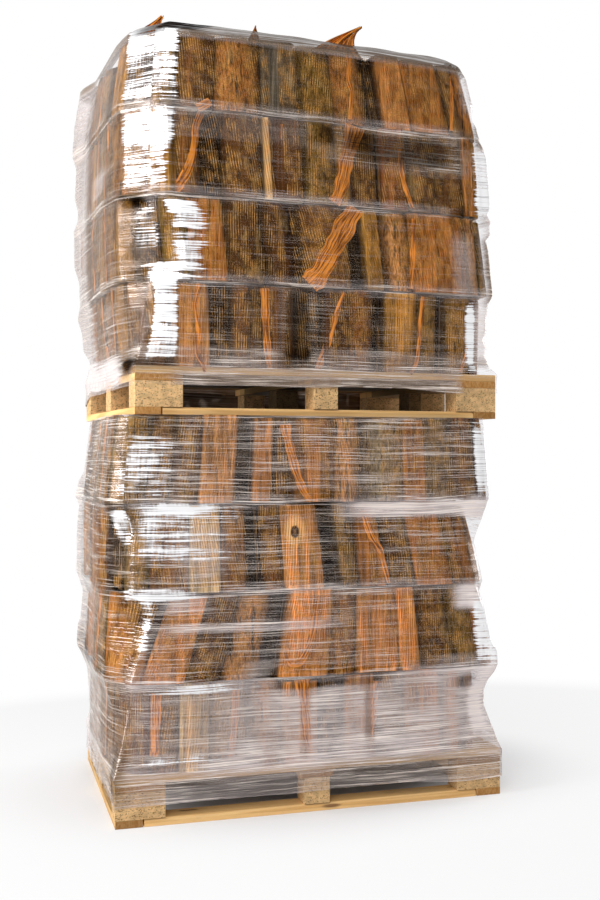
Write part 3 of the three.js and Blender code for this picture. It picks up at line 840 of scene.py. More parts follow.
@dataclass
class BagLayer:
    """A layer of net bags packed with logs that stand on end."""

    name: str
    place: Place
    base: float
    plan: LayerPlan
    chance: Chance
    is_top: bool = False
    logs: list[Log] = field(init=False, default_factory=list)

    @property
    def low(self) -> float:
        """The height of the logs' lower ends."""
        return self.base + SEAT

    @property
    def high(self) -> float:
        """The height of the longest logs' upper ends."""
        return self.base + LAYER_HEIGHT - (TOP_SETTLE if self.is_top else 0.0)

    def __post_init__(self) -> None:
        """Lays the logs, in the order that the model's solids are laid."""
        self.feet = self.plan.foot.corners()
        self.heads = self.plan.head.corners()
        self.lengths = [(self.feet[(e + 1) % 8] - self.feet[e]).length for e in range(8)]
        for edge, bags in enumerate(BAG_EDGES):
            row = self.plan.front if edge == 0 else self.mixed_row(self.lengths[edge])
            self.logs += self.row_of_logs(edge, row, bags)
        for each in self.logs:
            each.top = self.high - self.chance() * LOG_SHORTFALL
        self.ends = self.top_ends() if self.is_top else []
        self.taut_depths = [self.net_depths(edge) for edge in range(8)]

    def mixed_row(self, length: float) -> list[tuple[Face, float, Tone]]:
        """Draws logs of mixed widths, faces and tones.

        Args:
            length: the length that they fill.

        Returns:
            Each log's face, width and tone.
        """
        faces = (Face.BARK, Face.SPLIT, Face.BARK, Face.RIDGE, Face.SPLIT, Face.BACK)
        tones = (Tone.BROWN, Tone.GOLD, Tone.ORANGE, Tone.OLIVE, Tone.RED, Tone.BROWN, Tone.ORANGE)
        row = []
        filled = 0.0
        while filled < length - SIDE_LOG_MIN / 2:
            width = SIDE_LOG_MIN + self.chance() * (SIDE_LOG_MAX - SIDE_LOG_MIN)
            draw = self.chance()
            face = faces[int(draw * 6)]
            # logs set back get the near-black tone of painted shade
            tone = Tone.DARK if face is Face.BACK else tones[int(draw * 600) % len(tones)]
            row.append((face, width, tone))
            filled += width
        return row

    def row_of_logs(self, edge: int, row: Sequence[tuple[Face, float, Tone]],
                    bags: int) -> list[Log]:
        """The logs along one edge.

        Args:
            edge: which edge of the outline.
            row: each log's face, width and tone.
            bags: how many bags share the edge, or 0 at a corner.

        Returns:
            The logs, with their sections as shares of the edge and depths.
        """
        total = sum(width for _, width, _ in row)
        made = []
        start = 0.0
        for face, width, tone in row:
            first = (start + LOG_GAP / 2) / total
            last = (start + width - LOG_GAP / 2) / total
            section = []
            for t, depth in self.outer_face(face):
                share = first + (last - first) * t
                notch = BAG_NOTCH * (1 - math.sin(math.pi * (share * bags % 1))) if bags else 0.0
                section.append((share, depth + notch))
            made.append(Log(edge, face, tone, first, last, section))
            start += width
        return made

    @staticmethod
    def outer_face(face: Face) -> list[tuple[float, float]]:
        """Shapes a log's outer face.

        Args:
            face: what the log turns outwards.

        Returns:
            Shares of its width, with the depth at each.
        """
        steps = [i / 10 for i in range(11)]
        if face is Face.RIDGE:
            return [(t, RIDGE_FALL * ((RIDGE_PLACE - t) / RIDGE_PLACE if t < RIDGE_PLACE
                                      else (t - RIDGE_PLACE) / RIDGE_FAR_RUN))
                    for t in [*steps[:4], RIDGE_PLACE, *steps[5:]]]
        if face is Face.SPLIT:
            arris = [0.0, 0.03, 0.1, 0.3, 0.5, 0.7, 0.9, 0.97, 1.0]
            return [(t, SPLIT_ARRIS * max(0.0, 1 - 10 * min(t, 1 - t))) for t in arris]
        stand = SET_BACK if face is Face.BACK else 0.0
        return [(t, stand + BARK_CROWN * (1 - math.sin(math.pi * t))) for t in steps]

    def top_ends(self) -> list[list[Vector2]]:
        """The outlines of the log ends that show on top, some split across a corner."""
        columns = BAGS_ALONG * TOP_COLUMNS_PER_BAG
        rows = BAGS_ACROSS * TOP_ROWS_PER_BAG
        low, high = self.plan.head.box(LOG_DEPTH - LOG_GAP)

        def corner(c: int, r: int) -> Vector2:
            """A corner of the cells, moved a little unless it is between two bags."""
            x = low.x + (high.x - low.x) * c / columns
            y = low.y + (high.y - low.y) * r / rows
            if c % TOP_COLUMNS_PER_BAG:
                x += (self.chance() - 0.5) * 2 * TOP_JITTER
            if r % TOP_ROWS_PER_BAG:
                y += (self.chance() - 0.5) * 2 * TOP_JITTER
            return Vector((x, y))

        net = [[corner(c, r) for r in range(rows + 1)] for c in range(columns + 1)]
        ends = []
        for c in range(columns):
            for r in range(rows):
                quad = [net[c][r], net[c + 1][r], net[c + 1][r + 1], net[c][r + 1]]
                if self.chance() < TOP_SPLIT_SHARE:
                    ends += [self.drawn_in(quad[:3]), self.drawn_in([quad[0], *quad[2:]])]
                else:
                    ends.append(self.drawn_in(quad))
        return ends

    @staticmethod
    def drawn_in(points: list[Vector2]) -> list[Vector2]:
        """An outline whose corners stand in from those of its cell."""
        middle = sum(points, Vector((0.0, 0.0))) / len(points)
        return [p.lerp(middle, TOP_LOG_INSET / (p - middle).length) for p in points]

    def point(self, edge: int, share: float, depth: float, z: float) -> Vector:
        """Finds a point of the layer's side.

        Args:
            edge: which edge of the outline.
            share: the share of that edge's way.
            depth: how far inside it.
            z: the height.

        Returns:
            The point, in the load's own frame.
        """
        t = (z - self.low) / (self.high - self.low)
        foot = inside_edge(self.feet, edge, share, depth)
        head = inside_edge(self.heads, edge, share, depth)
        return foot.lerp(head, t).to_3d() + Vector((0, 0, z))

    # --- logs ---

    def build_logs(self, finish: Material) -> Object:
        """Builds every log of the layer and its packed middle.

        Args:
            finish: the wood's material.

        Returns:
            The piece, which stands for the layer's solid.
        """
        bm = bmesh.new()
        marks = WoodMarks(bm)
        rng = random.Random(self.name)
        for each in self.logs:
            self.add_log(bm, marks, each, rng)
        for end in self.ends:
            self.add_end(bm, marks, end, rng)
        self.add_core(bm, marks)
        bmesh.ops.recalc_face_normals(bm, faces=bm.faces)
        bm.transform(self.place.matrix)
        return piece(f"{self.name}_logs", bm, finish, [self.name], smooth=False)

    def add_log(self, bm: BMesh, marks: WoodMarks, each: Log, rng: random.Random) -> None:
        """Adds one log of the layer's side.

        Args:
            bm: the layer's mesh.
            marks: its attributes.
            each: the log.
            rng: where its irregularities come from.
        """
        width = each.end - each.start
        ring = [*each.section, (each.end, LOG_SKIN), (each.end, LOG_DEPTH),
                (each.start, LOG_DEPTH), (each.start, LOG_SKIN)]
        seed = scattered(rng, 40)
        lean = rng.uniform(-LOG_LEAN, LOG_LEAN)
        swell = rng.uniform(0.0, LOG_SWELL)

        def place(i: int, j: int) -> Vector:
            """A point of the log's skin, roughened where it faces outwards."""
            share, depth = ring[i % len(ring)]
            t = j / LOG_LEVELS
            z = self.low + (each.top - self.low) * t
            across = (share - each.start) / width
            if depth < LOG_SKIN:
                rough = cloud(across * 4.0, t * 2.2, 0.0, seed)
                fine = cloud(across * 13.0, t * 5.0, 4.0, seed)
                depth += max(0.0, LOG_ROUGHNESS[0] * rough + LOG_ROUGHNESS[1] * fine)
                depth += lean * (t - 0.5)
                depth += swell * (2 * t - 1) ** 2
                depth = max(depth, 0.0)
            return self.point(each.edge, share, depth, z)

        made = grid(bm, len(ring), LOG_LEVELS, place)
        self.close(bm, made)
        middle = self.point(each.edge, (each.start + each.end) / 2, LOG_DEPTH * 0.7, 0.0)
        along = (self.feet[(each.edge + 1) % 8] - self.feet[each.edge]).normalized()
        inward = Vector((-along.y, along.x))

        def depth_of(spot: Vector) -> float:
            """How deep inside the layer's side a place lies."""
            return (spot - self.point(each.edge, 0.0, 0.0, spot.z)).to_2d().dot(inward)

        number = self.logs.index(each)
        knot = None
        if self.plan.knot and number == self.plan.knot[0]:
            _, share, level = self.plan.knot
            z = self.low + (self.high - self.low) * level
            knot = self.point(each.edge, each.start + width * share, 0.0, z)
        for v in made:
            if v.is_valid:
                local = (v.co - middle).to_2d()
                v[marks.grain] = Vector((local.dot(along), local.cross(along), v.co.z)) + seed
                v[marks.knot] = v.co - knot if knot else NO_KNOT
                v[marks.shade] = smooth_step(*SHADED_DEPTHS, depth_of(v.co))
                if number in self.plan.fresh_arrises:
                    left, right = (self.point(each.edge, share, 0.0, v.co.z)
                                   for share in (each.start, each.end))
                    v[marks.fresh] = (right - v.co).dot(along.to_3d()) / (right - left).length
        barked = each.face in (Face.BARK, Face.BACK)
        colour = self.varied(each.tone, rng)
        for face in faces_at(made):
            flat = abs(face.normal.z) > 0.8 or len(face.verts) > 4
            is_skin = depth_of(face.calc_center_median()) < LOG_DEPTH * 0.55
            face[marks.tint] = (*colour, 1.0)
            face[marks.bark] = 1.0 if barked and is_skin and not flat else 0.0
            face[marks.end] = 1.0 if flat else 0.0

    def add_end(self, bm: BMesh, marks: WoodMarks, outline: list[Vector2],
                rng: random.Random) -> None:
        """Adds one of the log ends that show on top.

        Args:
            bm: the layer's mesh.
            marks: its attributes.
            outline: the end's corners.
            rng: where its irregularities come from.
        """
        top = self.high - self.chance() * LOG_SHORTFALL
        low = self.high - TOP_RECESS - LOG_GAP
        ring = []
        for i, here in enumerate(outline):
            after = outline[(i + 1) % len(outline)]
            bow = rng.uniform(0.0, END_BOW) if rng.random() < 0.5 else 0.0
            side = after - here
            out = Vector((side.y, -side.x)) * bow
            ring += [here + side * t + out * 2 * t * (1 - t) for t in END_STEPS]
        heights = (low, low + (top - low) * END_ARRIS, top)
        made = grid(bm, len(ring), 2,
                    lambda i, j: ring[i % len(ring)].to_3d() + Vector((0, 0, heights[j])))
        self.close(bm, made)
        pith = outline[rng.randrange(len(outline))]
        pith = pith + Vector((rng.uniform(-1, 1), rng.uniform(-1, 1))) * PITH_DRIFT
        colour = self.varied(rng.choice([Tone.GOLD, Tone.ORANGE, Tone.BROWN]), rng)
        depth = rng.uniform(0, 40)
        for v in made:
            if v.is_valid:
                v[marks.grain] = (v.co.to_2d() - pith).to_3d() + Vector((0, 0, v.co.z + depth))
                v[marks.knot] = NO_KNOT
        for face in faces_at(made):
            face[marks.tint] = (*colour, 1.0)
            face[marks.end] = 1.0 if len(face.verts) > 4 else 0.0

    def add_core(self, bm: BMesh, marks: WoodMarks) -> None:
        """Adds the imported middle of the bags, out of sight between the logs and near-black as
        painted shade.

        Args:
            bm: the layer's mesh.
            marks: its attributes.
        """
        top = self.high - TOP_RECESS if self.is_top else self.high - LOG_SHORTFALL
        corners = [(e, s) for e in range(8) for s in (0.2, 0.8)]
        made = grid(bm, len(corners), 1, lambda i, j: self.point(
            *corners[i % len(corners)], CORE_INSET, (self.low, top)[j]))
        self.close(bm, made)
        for face in faces_at(made):
            face[marks.tint] = (*linear(Tone.DARK.value), 1.0)

    @staticmethod
    def close(bm: BMesh, corners: list[BMVert]) -> None:
        """Joins a rolled grid along its seam and fills its two ends."""
        bmesh.ops.remove_doubles(bm, verts=corners, dist=SEAM_MERGE)
        rim = {e for v in corners if v.is_valid for e in v.link_edges if e.is_boundary}
        bmesh.ops.holes_fill(bm, edges=list(rim), sides=0)

    @staticmethod
    def varied(tone: Tone, rng: random.Random) -> Colour:
        """A tone, made a little lighter or darker."""
        shade = rng.uniform(0.82, 1.16)
        return tuple(c * shade for c in linear(tone.value))

    # --- nets ---

    def share_at(self, x: float, z: float) -> float:
        """The share of the front edge at a place along X and a height."""
        t = (z - self.low) / (self.high - self.low)
        left = self.feet[0].lerp(self.heads[0], t).x
        right = self.feet[1].lerp(self.heads[1], t).x
        return min(max((x - left) / (right - left), 0.0), 1.0)

    def on_net(self, edge: int, share: float, z: float, out: float) -> Vector:
        """The point at a share of an edge and a height, a distance outside the net."""
        depths = self.taut_depths[edge]
        return self.point(edge, share, depths[round(share * (len(depths) - 1))] - out, z)

    def skin_depth(self, edge: int, share: float) -> float:
        """Measures how deep the outermost log lies.

        Args:
            edge: which edge of the outline.
            share: the share of that edge's way.

        Returns:
            The depth.
        """
        for each in self.logs:
            if each.edge == edge and each.start <= share <= each.end:
                for (s0, d0), (s1, d1) in zip(each.section, each.section[1:]):
                    if share <= s1:
                        return d0 + (d1 - d0) * (share - s0) / max(s1 - s0, 1e-9)
        return LOG_DEPTH * 0.5

    def net_depths(self, edge: int) -> list[float]:
        """How deep a net drawn tight over an edge's logs lies, at even steps.

        Args:
            edge: which edge of the outline.

        Returns:
            The depths, from the edge's start to its end.
        """
        length = self.lengths[edge]
        steps = max(6, round(length / (NET_STEP / 2)))
        raw = [self.skin_depth(edge, i / steps) for i in range(steps + 1)]
        reach = max(1, round(NET_SPAN / length * steps))

        def spread(values: list[float], pick: Callable[..., float]) -> list[float]:
            """Each value but those at the ends replaced by the least or greatest one near it."""
            return [pick(values[i - reach:i + reach + 1])
                    for i in range(reach, len(values) - reach)]

        beyond = [LOG_DEPTH] * 2 * reach
        taut = spread(spread([*beyond, *raw, *beyond], min), max)
        soft = [sum(taut[max(0, i - 2):i + 3]) / len(taut[max(0, i - 2):i + 3])
                for i in range(len(taut))]
        bags = BAG_EDGES[edge]
        for i in range(steps + 1):
            if bags:
                seam = min(abs(i / steps - b / bags) for b in range(1, bags)) * length
                soft[i] += BAG_SEAM[0] * (1 - smooth_step(0.0, BAG_SEAM[1], seam))
        return [d - NET_STAND_OFF for d in soft]

    def ring(self) -> list[tuple[int, float, float]]:
        """The net's way round the layer, as edges, shares and depths."""
        way = []
        for edge in range(8):
            depths = self.taut_depths[edge]
            last = len(depths) - 1
            trim = NET_CORNER_TRIM / self.lengths[edge]
            count = max(3, round(self.lengths[edge] / NET_STEP))
            for i in range(count + 1):
                share = trim + (1 - 2 * trim) * i / count
                way.append((edge, share, depths[round(share * last)]))
        return way

    def build_net(self, finish: Material) -> Object:
        """Builds the nets' outer skin, turned in over the logs above and below.

        Args:
            finish: the netting's material.

        Returns:
            The piece.
        """
        bm = bmesh.new()
        way = self.ring()
        rng = random.Random(self.name + "net")
        slants = [rng.uniform(-NET_SLANT, NET_SLANT) for _ in range(12)]
        seed = scattered(rng, 40, 2)
        fold = NET_FOLD_ROWS
        rows = NET_LEVELS + 2 * fold
        run = [0.0]
        for i in range(1, len(way) + 1):
            a = self.point(*way[i - 1], self.base)
            b = self.point(*way[i % len(way)], self.base)
            run.append(run[-1] + (a - b).length)

        def place(i: int, j: int) -> Vector:
            """A point of the net."""
            edge, share, depth = way[i % len(way)]
            t = min(max((j - fold) / NET_LEVELS, 0.0), 1.0)
            z = self.low + 0.003 + (self.high - self.low - 0.008) * t
            inward = 0.0
            if j < fold:
                inward = NET_FOLDS[0] * (fold - j) / fold
            if j > rows - fold:
                inward = NET_FOLDS[1] * (j - rows + fold) / fold
                z += 0.003 * (j - rows + fold) / fold
            depth += 0.007 * max(0.0, 4 * (t - 0.5) ** 2 - 0.72) / 0.28
            slack = cloud(run[i % len(way)] * 13, z * 9, 0.0, seed)
            return self.point(edge, share, depth + inward - 0.0012 * abs(slack), z)

        def weave(i: int, j: int) -> tuple[float, float]:
            """The net's UV, slanted a little in each bag."""
            edge, share, _ = way[min(i, len(way) - 1)]
            bag = edge + int(share * max(BAG_EDGES[edge], 1) * 0.999)
            slant = slants[bag % len(slants)]
            u, v = run[i], j * LAYER_HEIGHT / NET_LEVELS
            return (u * math.cos(slant) - v * math.sin(slant),
                    u * math.sin(slant) + v * math.cos(slant))

        hollows = [smooth_step(0.005, 0.02, self.skin_depth(edge, share) - depth)
                   for edge, share, depth in way]
        made = grid(bm, len(way), rows, place, weave,
                    lambda i, j: {"hollow": hollows[i % len(way)]})
        bmesh.ops.remove_doubles(bm, verts=made, dist=SEAM_MERGE)
        bm.transform(self.place.matrix)
        made = piece(f"{self.name}_nets", bm, finish)
        return made


def through(points: Sequence[tuple[float, float]], t: float) -> Vector2:
    """Finds a place on a smooth line.

    Args:
        points: what the line runs through.
        t: the share of its way.

    Returns:
        The point.
    """
    last = len(points) - 1
    i = min(int(t * last), last - 1)
    f = t * last - i
    p0, p1, p2, p3 = (Vector(points[min(max(i + k, 0), last)]) for k in (-1, 0, 1, 2))
    return 0.5 * (2 * p1 + (p2 - p0) * f + (2 * p0 - 5 * p1 + 4 * p2 - p3) * f * f
                  + (3 * p1 - p0 - 3 * p2 + p3) * f ** 3)


@dataclass(frozen=True)
class Strand:
    """Net drawn together into a rope of folds that runs over a layer's net.

    The way is a line of places: on the front, distances along X from the pallet's middle, and
    heights; on the other edges, shares of the edge instead of the distances.
    """

    layer: int
    way: tuple[tuple[float, float], ...]
    width: tuple[float, float]
    edge: int = 0


@dataclass
class Gathers:
    """All the gathered strands of one load's nets."""

    name: str
    place: Place
    layers: list[BagLayer]
    strands: tuple[Strand, ...]
    columns: int = 8
    rows: int = 44

    def loose_strands(self) -> list[Strand]:
        """Strands at seams of the bags on the sides that the named strands leave out."""
        rng = random.Random(self.name)
        made = []
        for layer, bags in enumerate(self.layers):
            for edge in (2, 4, 6):
                for seam in range(BAG_EDGES[edge] + 1):
                    share = (seam + rng.uniform(0.08, 0.42)) / (BAG_EDGES[edge] + 1)
                    sway = [rng.uniform(-0.018, 0.018) for _ in range(4)]
                    tall = bags.high - bags.low
                    way = tuple((share + sway[k] + 0.02 * k * (rng.random() - 0.5),
                                 bags.high - 0.006 - tall * k / 3.2) for k in range(4))
                    made.append(Strand(layer, way, (rng.uniform(0.01, 0.03), 0.007), edge))
        return made

    def build(self, finish: Material) -> Object:
        """Builds the strands.

        Args:
            finish: the gathered net's material.

        Returns:
            The piece.
        """
        bm = bmesh.new()
        strands = [*self.strands, *self.loose_strands()]
        lengths = [self.add(bm, strand, index) for index, strand in enumerate(strands)]
        bm.transform(self.place.matrix)
        made = piece(self.name, bm, finish)
        area = sum(length * sum(strand.width) / 2 for length, strand in zip(lengths, strands))
        [f"{bags.name}_nets" for bags in self.layers]
        return made

    def add(self, bm: BMesh, strand: Strand, index: int) -> float:
        """Adds one strand.

        Args:
            bm: the mesh to add to.
            strand: the strand.
            index: its number, which its folds are drawn from.

        Returns:
            The strand's length.
        """
        bags = self.layers[strand.layer]
        span = 1.0 if strand.edge == 0 else bags.lengths[strand.edge]
        length = sum(Vector(((a[0] - b[0]) * span, a[1] - b[1])).length
                     for a, b in zip(strand.way, strand.way[1:]))

        def place(i: int, j: int) -> Vector:
            """A point of the strand."""
            t = j / self.rows
            here = through(strand.way, t)
            run = through(strand.way, min(t + 0.02, 1.0)) - through(strand.way, max(t - 0.02, 0.0))
            across = Vector((run.y, -run.x * span)).normalized()
            wide = strand.width[0] + (strand.width[1] - strand.width[0]) * t
            wide *= 1 + 0.35 * cloud(t * length * 32, index * 7.3, 0.0)
            c = i / self.columns - 0.5
            spot = Vector((here.x + across.x * c * wide / span, here.y + across.y * c * wide))
            fold = cloud(c * 6, t * length * 14, index * 3.1)
            out = 0.0007 + 0.0013 * (1 - 4 * c * c) + 0.0006 * fold
            share = bags.share_at(*spot) if strand.edge == 0 else min(max(spot.x, 0.0), 1.0)
            return bags.on_net(strand.edge, share, spot.y, out)

        made = grid(bm, self.columns, self.rows, place,
                    lambda i, j: ((i / self.columns - 0.5) * strand.width[0] + index * 0.37,
                                  j / self.rows * length))
        if (strand.way[-1][1] - strand.way[0][1]) < 0:
            bmesh.ops.reverse_faces(bm, faces=list(faces_at(made)))
        return length


@dataclass(frozen=True)
class Ear:
    """The tied end of a bag, which stands up from the load's top."""

    x: float
    y: float
    height: float
    width: float
    lean: float
    turn: float = 0.0


@dataclass
class LoadTop:
    """The nets over the log ends of the highest layer, with the bags' tied ends."""

    name: str
    bags: BagLayer
    ears: tuple[Ear, ...]
    cells: int = 26
    inset: float = 0.040  # of the nets, from the top layer's outline
    seam_dip: float = 0.03

    def height(self, spot: Vector2, u: float, v: float) -> float:
        """Measures how high the net lies.

        Args:
            spot: the place.
            u: the share of its bag's length.
            v: the share of its bag's width.

        Returns:
            The height.
        """
        edge = min(u, 1 - u, v, 1 - v)
        z = self.bags.high + 0.0025 - self.seam_dip * (1 - smooth_step(0.0, 0.09, edge))
        z += 0.0035 * cloud(spot.x * 19, spot.y * 19, 1.0)
        for ear in self.ears:
            away = (spot - Vector((ear.x, ear.y))).length
            z += 0.018 * (1 - smooth_step(0.0, 0.085, away))
            around = math.atan2(spot.y - ear.y, spot.x - ear.x)
            z += 0.003 * math.sin(around * 11) * (1 - smooth_step(0.02, 0.13, away))
        return z

    def build_nets(self, finish: Material) -> Object:
        """Builds the nets over the top.

        Args:
            finish: the netting's material.

        Returns:
            The piece.
        """
        bm = bmesh.new()
        low, high = self.bags.plan.head.box(self.inset)
        size = high - low
        for column in range(BAGS_ALONG):
            for row in range(BAGS_ACROSS):
                def spot(i: int, j: int, c: int = column, r: int = row) -> Vector:
                    """A point of one bag's net."""
                    u, v = i / self.cells, j / self.cells
                    here = Vector((low.x + size.x * (c + u) / BAGS_ALONG,
                                   low.y + size.y * (r + v) / BAGS_ACROSS))
                    return here.to_3d() + Vector((0, 0, self.height(here, u, v)))

                grid(bm, self.cells, self.cells, spot,
                     lambda i, j: (i * size.x / BAGS_ALONG / self.cells,
                                   j * size.y / BAGS_ACROSS / self.cells))
        bm.transform(self.bags.place.matrix)
        made = piece(f"{self.name}_nets", bm, finish)
        return made

    def build_ears(self, finish: Material) -> Object:
        """Builds the tied ends.

        Args:
            finish: the gathered net's material.

        Returns:
            The piece.
        """
        bm = bmesh.new()
        columns, rows = EAR_CELLS
        for number, ear in enumerate(self.ears):
            def spot(i: int, j: int, e: Ear = ear, n: int = number) -> Vector:
                """A point of one ear."""
                c, t = i / columns - 0.5, j / rows
                wide = e.width * ((1 - t) ** 1.3 + 0.07)
                pleat = 0.010 * math.sin(c * 19 + n) * (1 - 0.75 * t)
                pleat += 0.004 * cloud(c * 9, t * 6, n * 5.0)
                local = Vector((c * wide + e.lean * t * t, pleat, 0.0))
                turned = Matrix.Rotation(e.turn, 3, "Z") @ local
                ragged = 0.10 * cloud(c * 14, n * 3.0, 0.0) * t
                z = self.bags.high - 0.004 + e.height * (t + ragged)
                return Vector((e.x, e.y, z)) + turned

            grid(bm, columns, rows, spot,
                 lambda i, j, e=ear, n=number: ((i / columns) * e.width * 0.5 + n * 0.41,
                                                j / rows * e.height))
        bm.transform(self.bags.place.matrix)
        return piece(f"{self.name}_tied_ends", bm, finish)


# --- Film ---


@dataclass(frozen=True)
class Mark:
    """A place where the film is hazier, more streaked, whiter with a painted highlight, darker with
    painted shade, or stands out further.

    The place is a distance along the front from the pallet's middle, and a height over the pallet's
    foot; on the left and right sides of the load the distance runs on round the corner.
    """

    along: float
    height: float
    half_width: float
    half_height: float
    haze: float = 0.0
    streak: float = 0.0
    # how much painted highlight
    glare: float = 0.0
    # how much painted shade
    dusk: float = 0.0
    swell: float = 0.0
    edge: float = 0.3  # the share of its half width over which the mark is at its strongest

    def strength(self, along: float, height: float) -> float:
        """Measures how strongly the mark tells at a place.

        Args:
            along: the distance along the load's sides.
            height: the height over the pallet's foot.

        Returns:
            The strength, from 0 to 1.
        """
        a = abs(along - self.along) / self.half_width
        b = abs(height - self.height) / self.half_height
        if a > MARK_END or b > MARK_END:
            return 0.0
        return (1 - smooth_step(self.edge, MARK_END, a)) * (1 - smooth_step(0.55, MARK_END, b))


@dataclass(frozen=True)
class FilmPlan:
    """How one load's film hangs and how clear it is at each layer."""

    hem: float
    rear_hem: float
    rim: float
    haze: tuple[float, float, float, float]
    streak: tuple[float, float, float, float]
    marks: tuple[Mark, ...] = ()
    seam_haze: float = 0.14
    lip_haze: float = 0.0


@dataclass
class FilmWrap:
    """The stretch film round one load, drawn tight over every layer and bridging between them."""

    name: str
    place: Place
    layers: list[BagLayer]
    plan: FilmPlan
    node: str

    DIRECTIONS = 96
    NEIGHBOURS = 20  # how many directions to each side can hold the film out

    def __post_init__(self) -> None:
        """Works out how far the load reaches in each direction at each height."""
        self.heights = [self.plan.hem + (self.plan.rim - self.plan.hem) * j / FILM_ROWS
                        for j in range(FILM_ROWS + 1)]
        turns = [2 * math.pi * k / self.DIRECTIONS for k in range(self.DIRECTIONS)]
        self.normals = [Vector((math.cos(turn), math.sin(turn))) for turn in turns]
        self.reach = [self.load_reach(z) for z in self.heights]
        self.bridge()
        self.run = [FILM_GIRTH * i / FILM_COLUMNS for i in range(FILM_COLUMNS + 1)]
        self.columns = self.column_angles()

    def load_reach(self, z: float) -> list[float]:
        """Measures how far the load reaches.

        Args:
            z: the height.

        Returns:
            The reach in each direction.
        """
        if z < DECK_TOP:
            return [abs(n.x) * PALLET_LENGTH / 2 + abs(n.y) * PALLET_WIDTH / 2
                    for n in self.normals]
        index = min(int((z - DECK_TOP) / LAYER_HEIGHT), LAYER_COUNT - 1)
        layer = self.layers[index]
        points = [layer.point(each.edge, s, d, min(z, layer.high)).to_2d()
                  for each in layer.logs for s, d in each.section]
        return [max(p.dot(n) for p in points) for n in self.normals]

    def bridge(self) -> None:
        """Lets the film span from one layer to the next, no steeper than it can be drawn."""
        rows = range(len(self.heights))
        step = self.heights[1] - self.heights[0]
        fall = FILM_RISE * step
        for k in range(self.DIRECTIONS):
            for j in rows[1:]:
                self.reach[j][k] = max(self.reach[j][k], self.reach[j - 1][k] - fall)
            for j in reversed(rows[:-1]):
                self.reach[j][k] = max(self.reach[j][k], self.reach[j + 1][k] - fall)
        for j, z in enumerate(self.heights):
            over = z - self.layers[-1].high
            if over > 0:
                inset = FILM_LIP_INSET * over / FILM_LIP_HEIGHT
                self.reach[j] = [r - inset for r in self.reach[j]]

    def column_angles(self) -> list[float]:
        """The direction of each column, evenly spaced round the pallet's edge."""
        x, y = PALLET_LENGTH / 2, PALLET_WIDTH / 2
        corners = [Vector(c) for c in ((-x, -y), (x, -y), (x, y), (-x, y))]
        sides = [corners[(edge + 1) % 4] - corners[edge] for edge in range(4)]
        made = []
        for distance in self.run:
            edge = 0
            left = distance % FILM_GIRTH
            while left > sides[edge].length:
                left -= sides[edge].length
                edge = (edge + 1) % 4
            spot = corners[edge] + sides[edge].normalized() * left
            made.append(math.atan2(spot.y, spot.x))
        return made

    def radius(self, angle: float, row: int) -> float:
        """Measures how far out the film lies.

        Args:
            angle: the direction.
            row: the row.

        Returns:
            The distance from the load's middle.
        """
        reach = self.reach[row]
        step = 2 * math.pi / self.DIRECTIONS
        middle = round(angle / step)
        best = math.inf
        for k in range(middle - self.NEIGHBOURS, middle + self.NEIGHBOURS + 1):
            facing = math.cos(angle - k * step)
            if facing > 0.12:
                best = min(best, reach[k % self.DIRECTIONS] / facing)
        return best

    def along(self, i: int) -> float:
        """How far along a column stands, from the middle of the front, negative to the left."""
        run = self.run[i % FILM_COLUMNS]
        return (run if run < FILM_GIRTH / 2 else run - FILM_GIRTH) - PALLET_LENGTH / 2

    def rear(self, i: int) -> float:
        """How much a column belongs to the rear, from 0 to 1."""
        return smooth_step(1.28, 1.46, abs(self.along(i)))

    def point(self, i: int, j: int) -> Vector:
        """Places a corner of the film.

        Args:
            i: its column.
            j: its row.

        Returns:
            The place, in the load's own frame.
        """
        angle = self.columns[i % FILM_COLUMNS]
        z = self.heights[j]
        along = self.along(i)
        around = Vector((math.cos(angle), math.sin(angle)))
        swell = sum(mark.swell * mark.strength(along, z) for mark in self.plan.marks if mark.swell)
        spot = around * (self.radius(angle, j) + FILM_STAND_OFF + swell)
        drop = (self.plan.hem - self.plan.rear_hem) * self.rear(i)
        z -= drop * (1 - smooth_step(0.0, 0.09, z - self.plan.hem))
        ripple = cloud(spot.x * 5, spot.y * 5, z * 42)
        broad = cloud(spot.x * 3, spot.y * 3, z * 11 + 9)
        hem = smooth_step(0.10, 0.0, z - self.plan.hem)
        crumple = cloud(spot.x * 26, spot.y * 26, z * 22)
        spot += around * (0.0011 * ripple + 0.0016 * broad + 0.006 * hem * crumple)
        if j == 0:
            z += 0.012 * cloud(spot.x * 4, spot.y * 4, 3.0)
        if j == FILM_ROWS and self.plan.rim > self.layers[-1].high + SEAT:
            z += 0.004 * cloud(spot.x * 9, spot.y * 9, 5.0)
        return spot.to_3d() + Vector((0, 0, z))

    def finish_levels(self, i: int, j: int) -> dict[str, float]:
        """Sets the film's haze, streaks, painted glare and painted shade at a corner.

        Args:
            i: its column.
            j: its row.

        Returns:
            Each one's value, by name.
        """
        z = self.heights[j]
        along = self.along(i)
        level = (z - DECK_TOP) / LAYER_HEIGHT
        index = min(max(int(level), 0), LAYER_COUNT - 1)
        haze, streak = self.plan.haze[index], self.plan.streak[index]
        seam = min(abs(level - n) for n in range(LAYER_COUNT)) * LAYER_HEIGHT
        near = 1 - smooth_step(0.004, 0.030, seam)
        haze += self.plan.seam_haze * near
        streak += 0.55 * near
        lip = smooth_step(-0.034, -0.014, z - self.layers[-1].high) if self.plan.lip_haze else 0.0
        haze += self.plan.lip_haze * lip
        # painted shade on the film's lip, weaker round the left side
        dusk = lip * (0.8 + 0.7 * smooth_step(-0.75, -0.60, along))
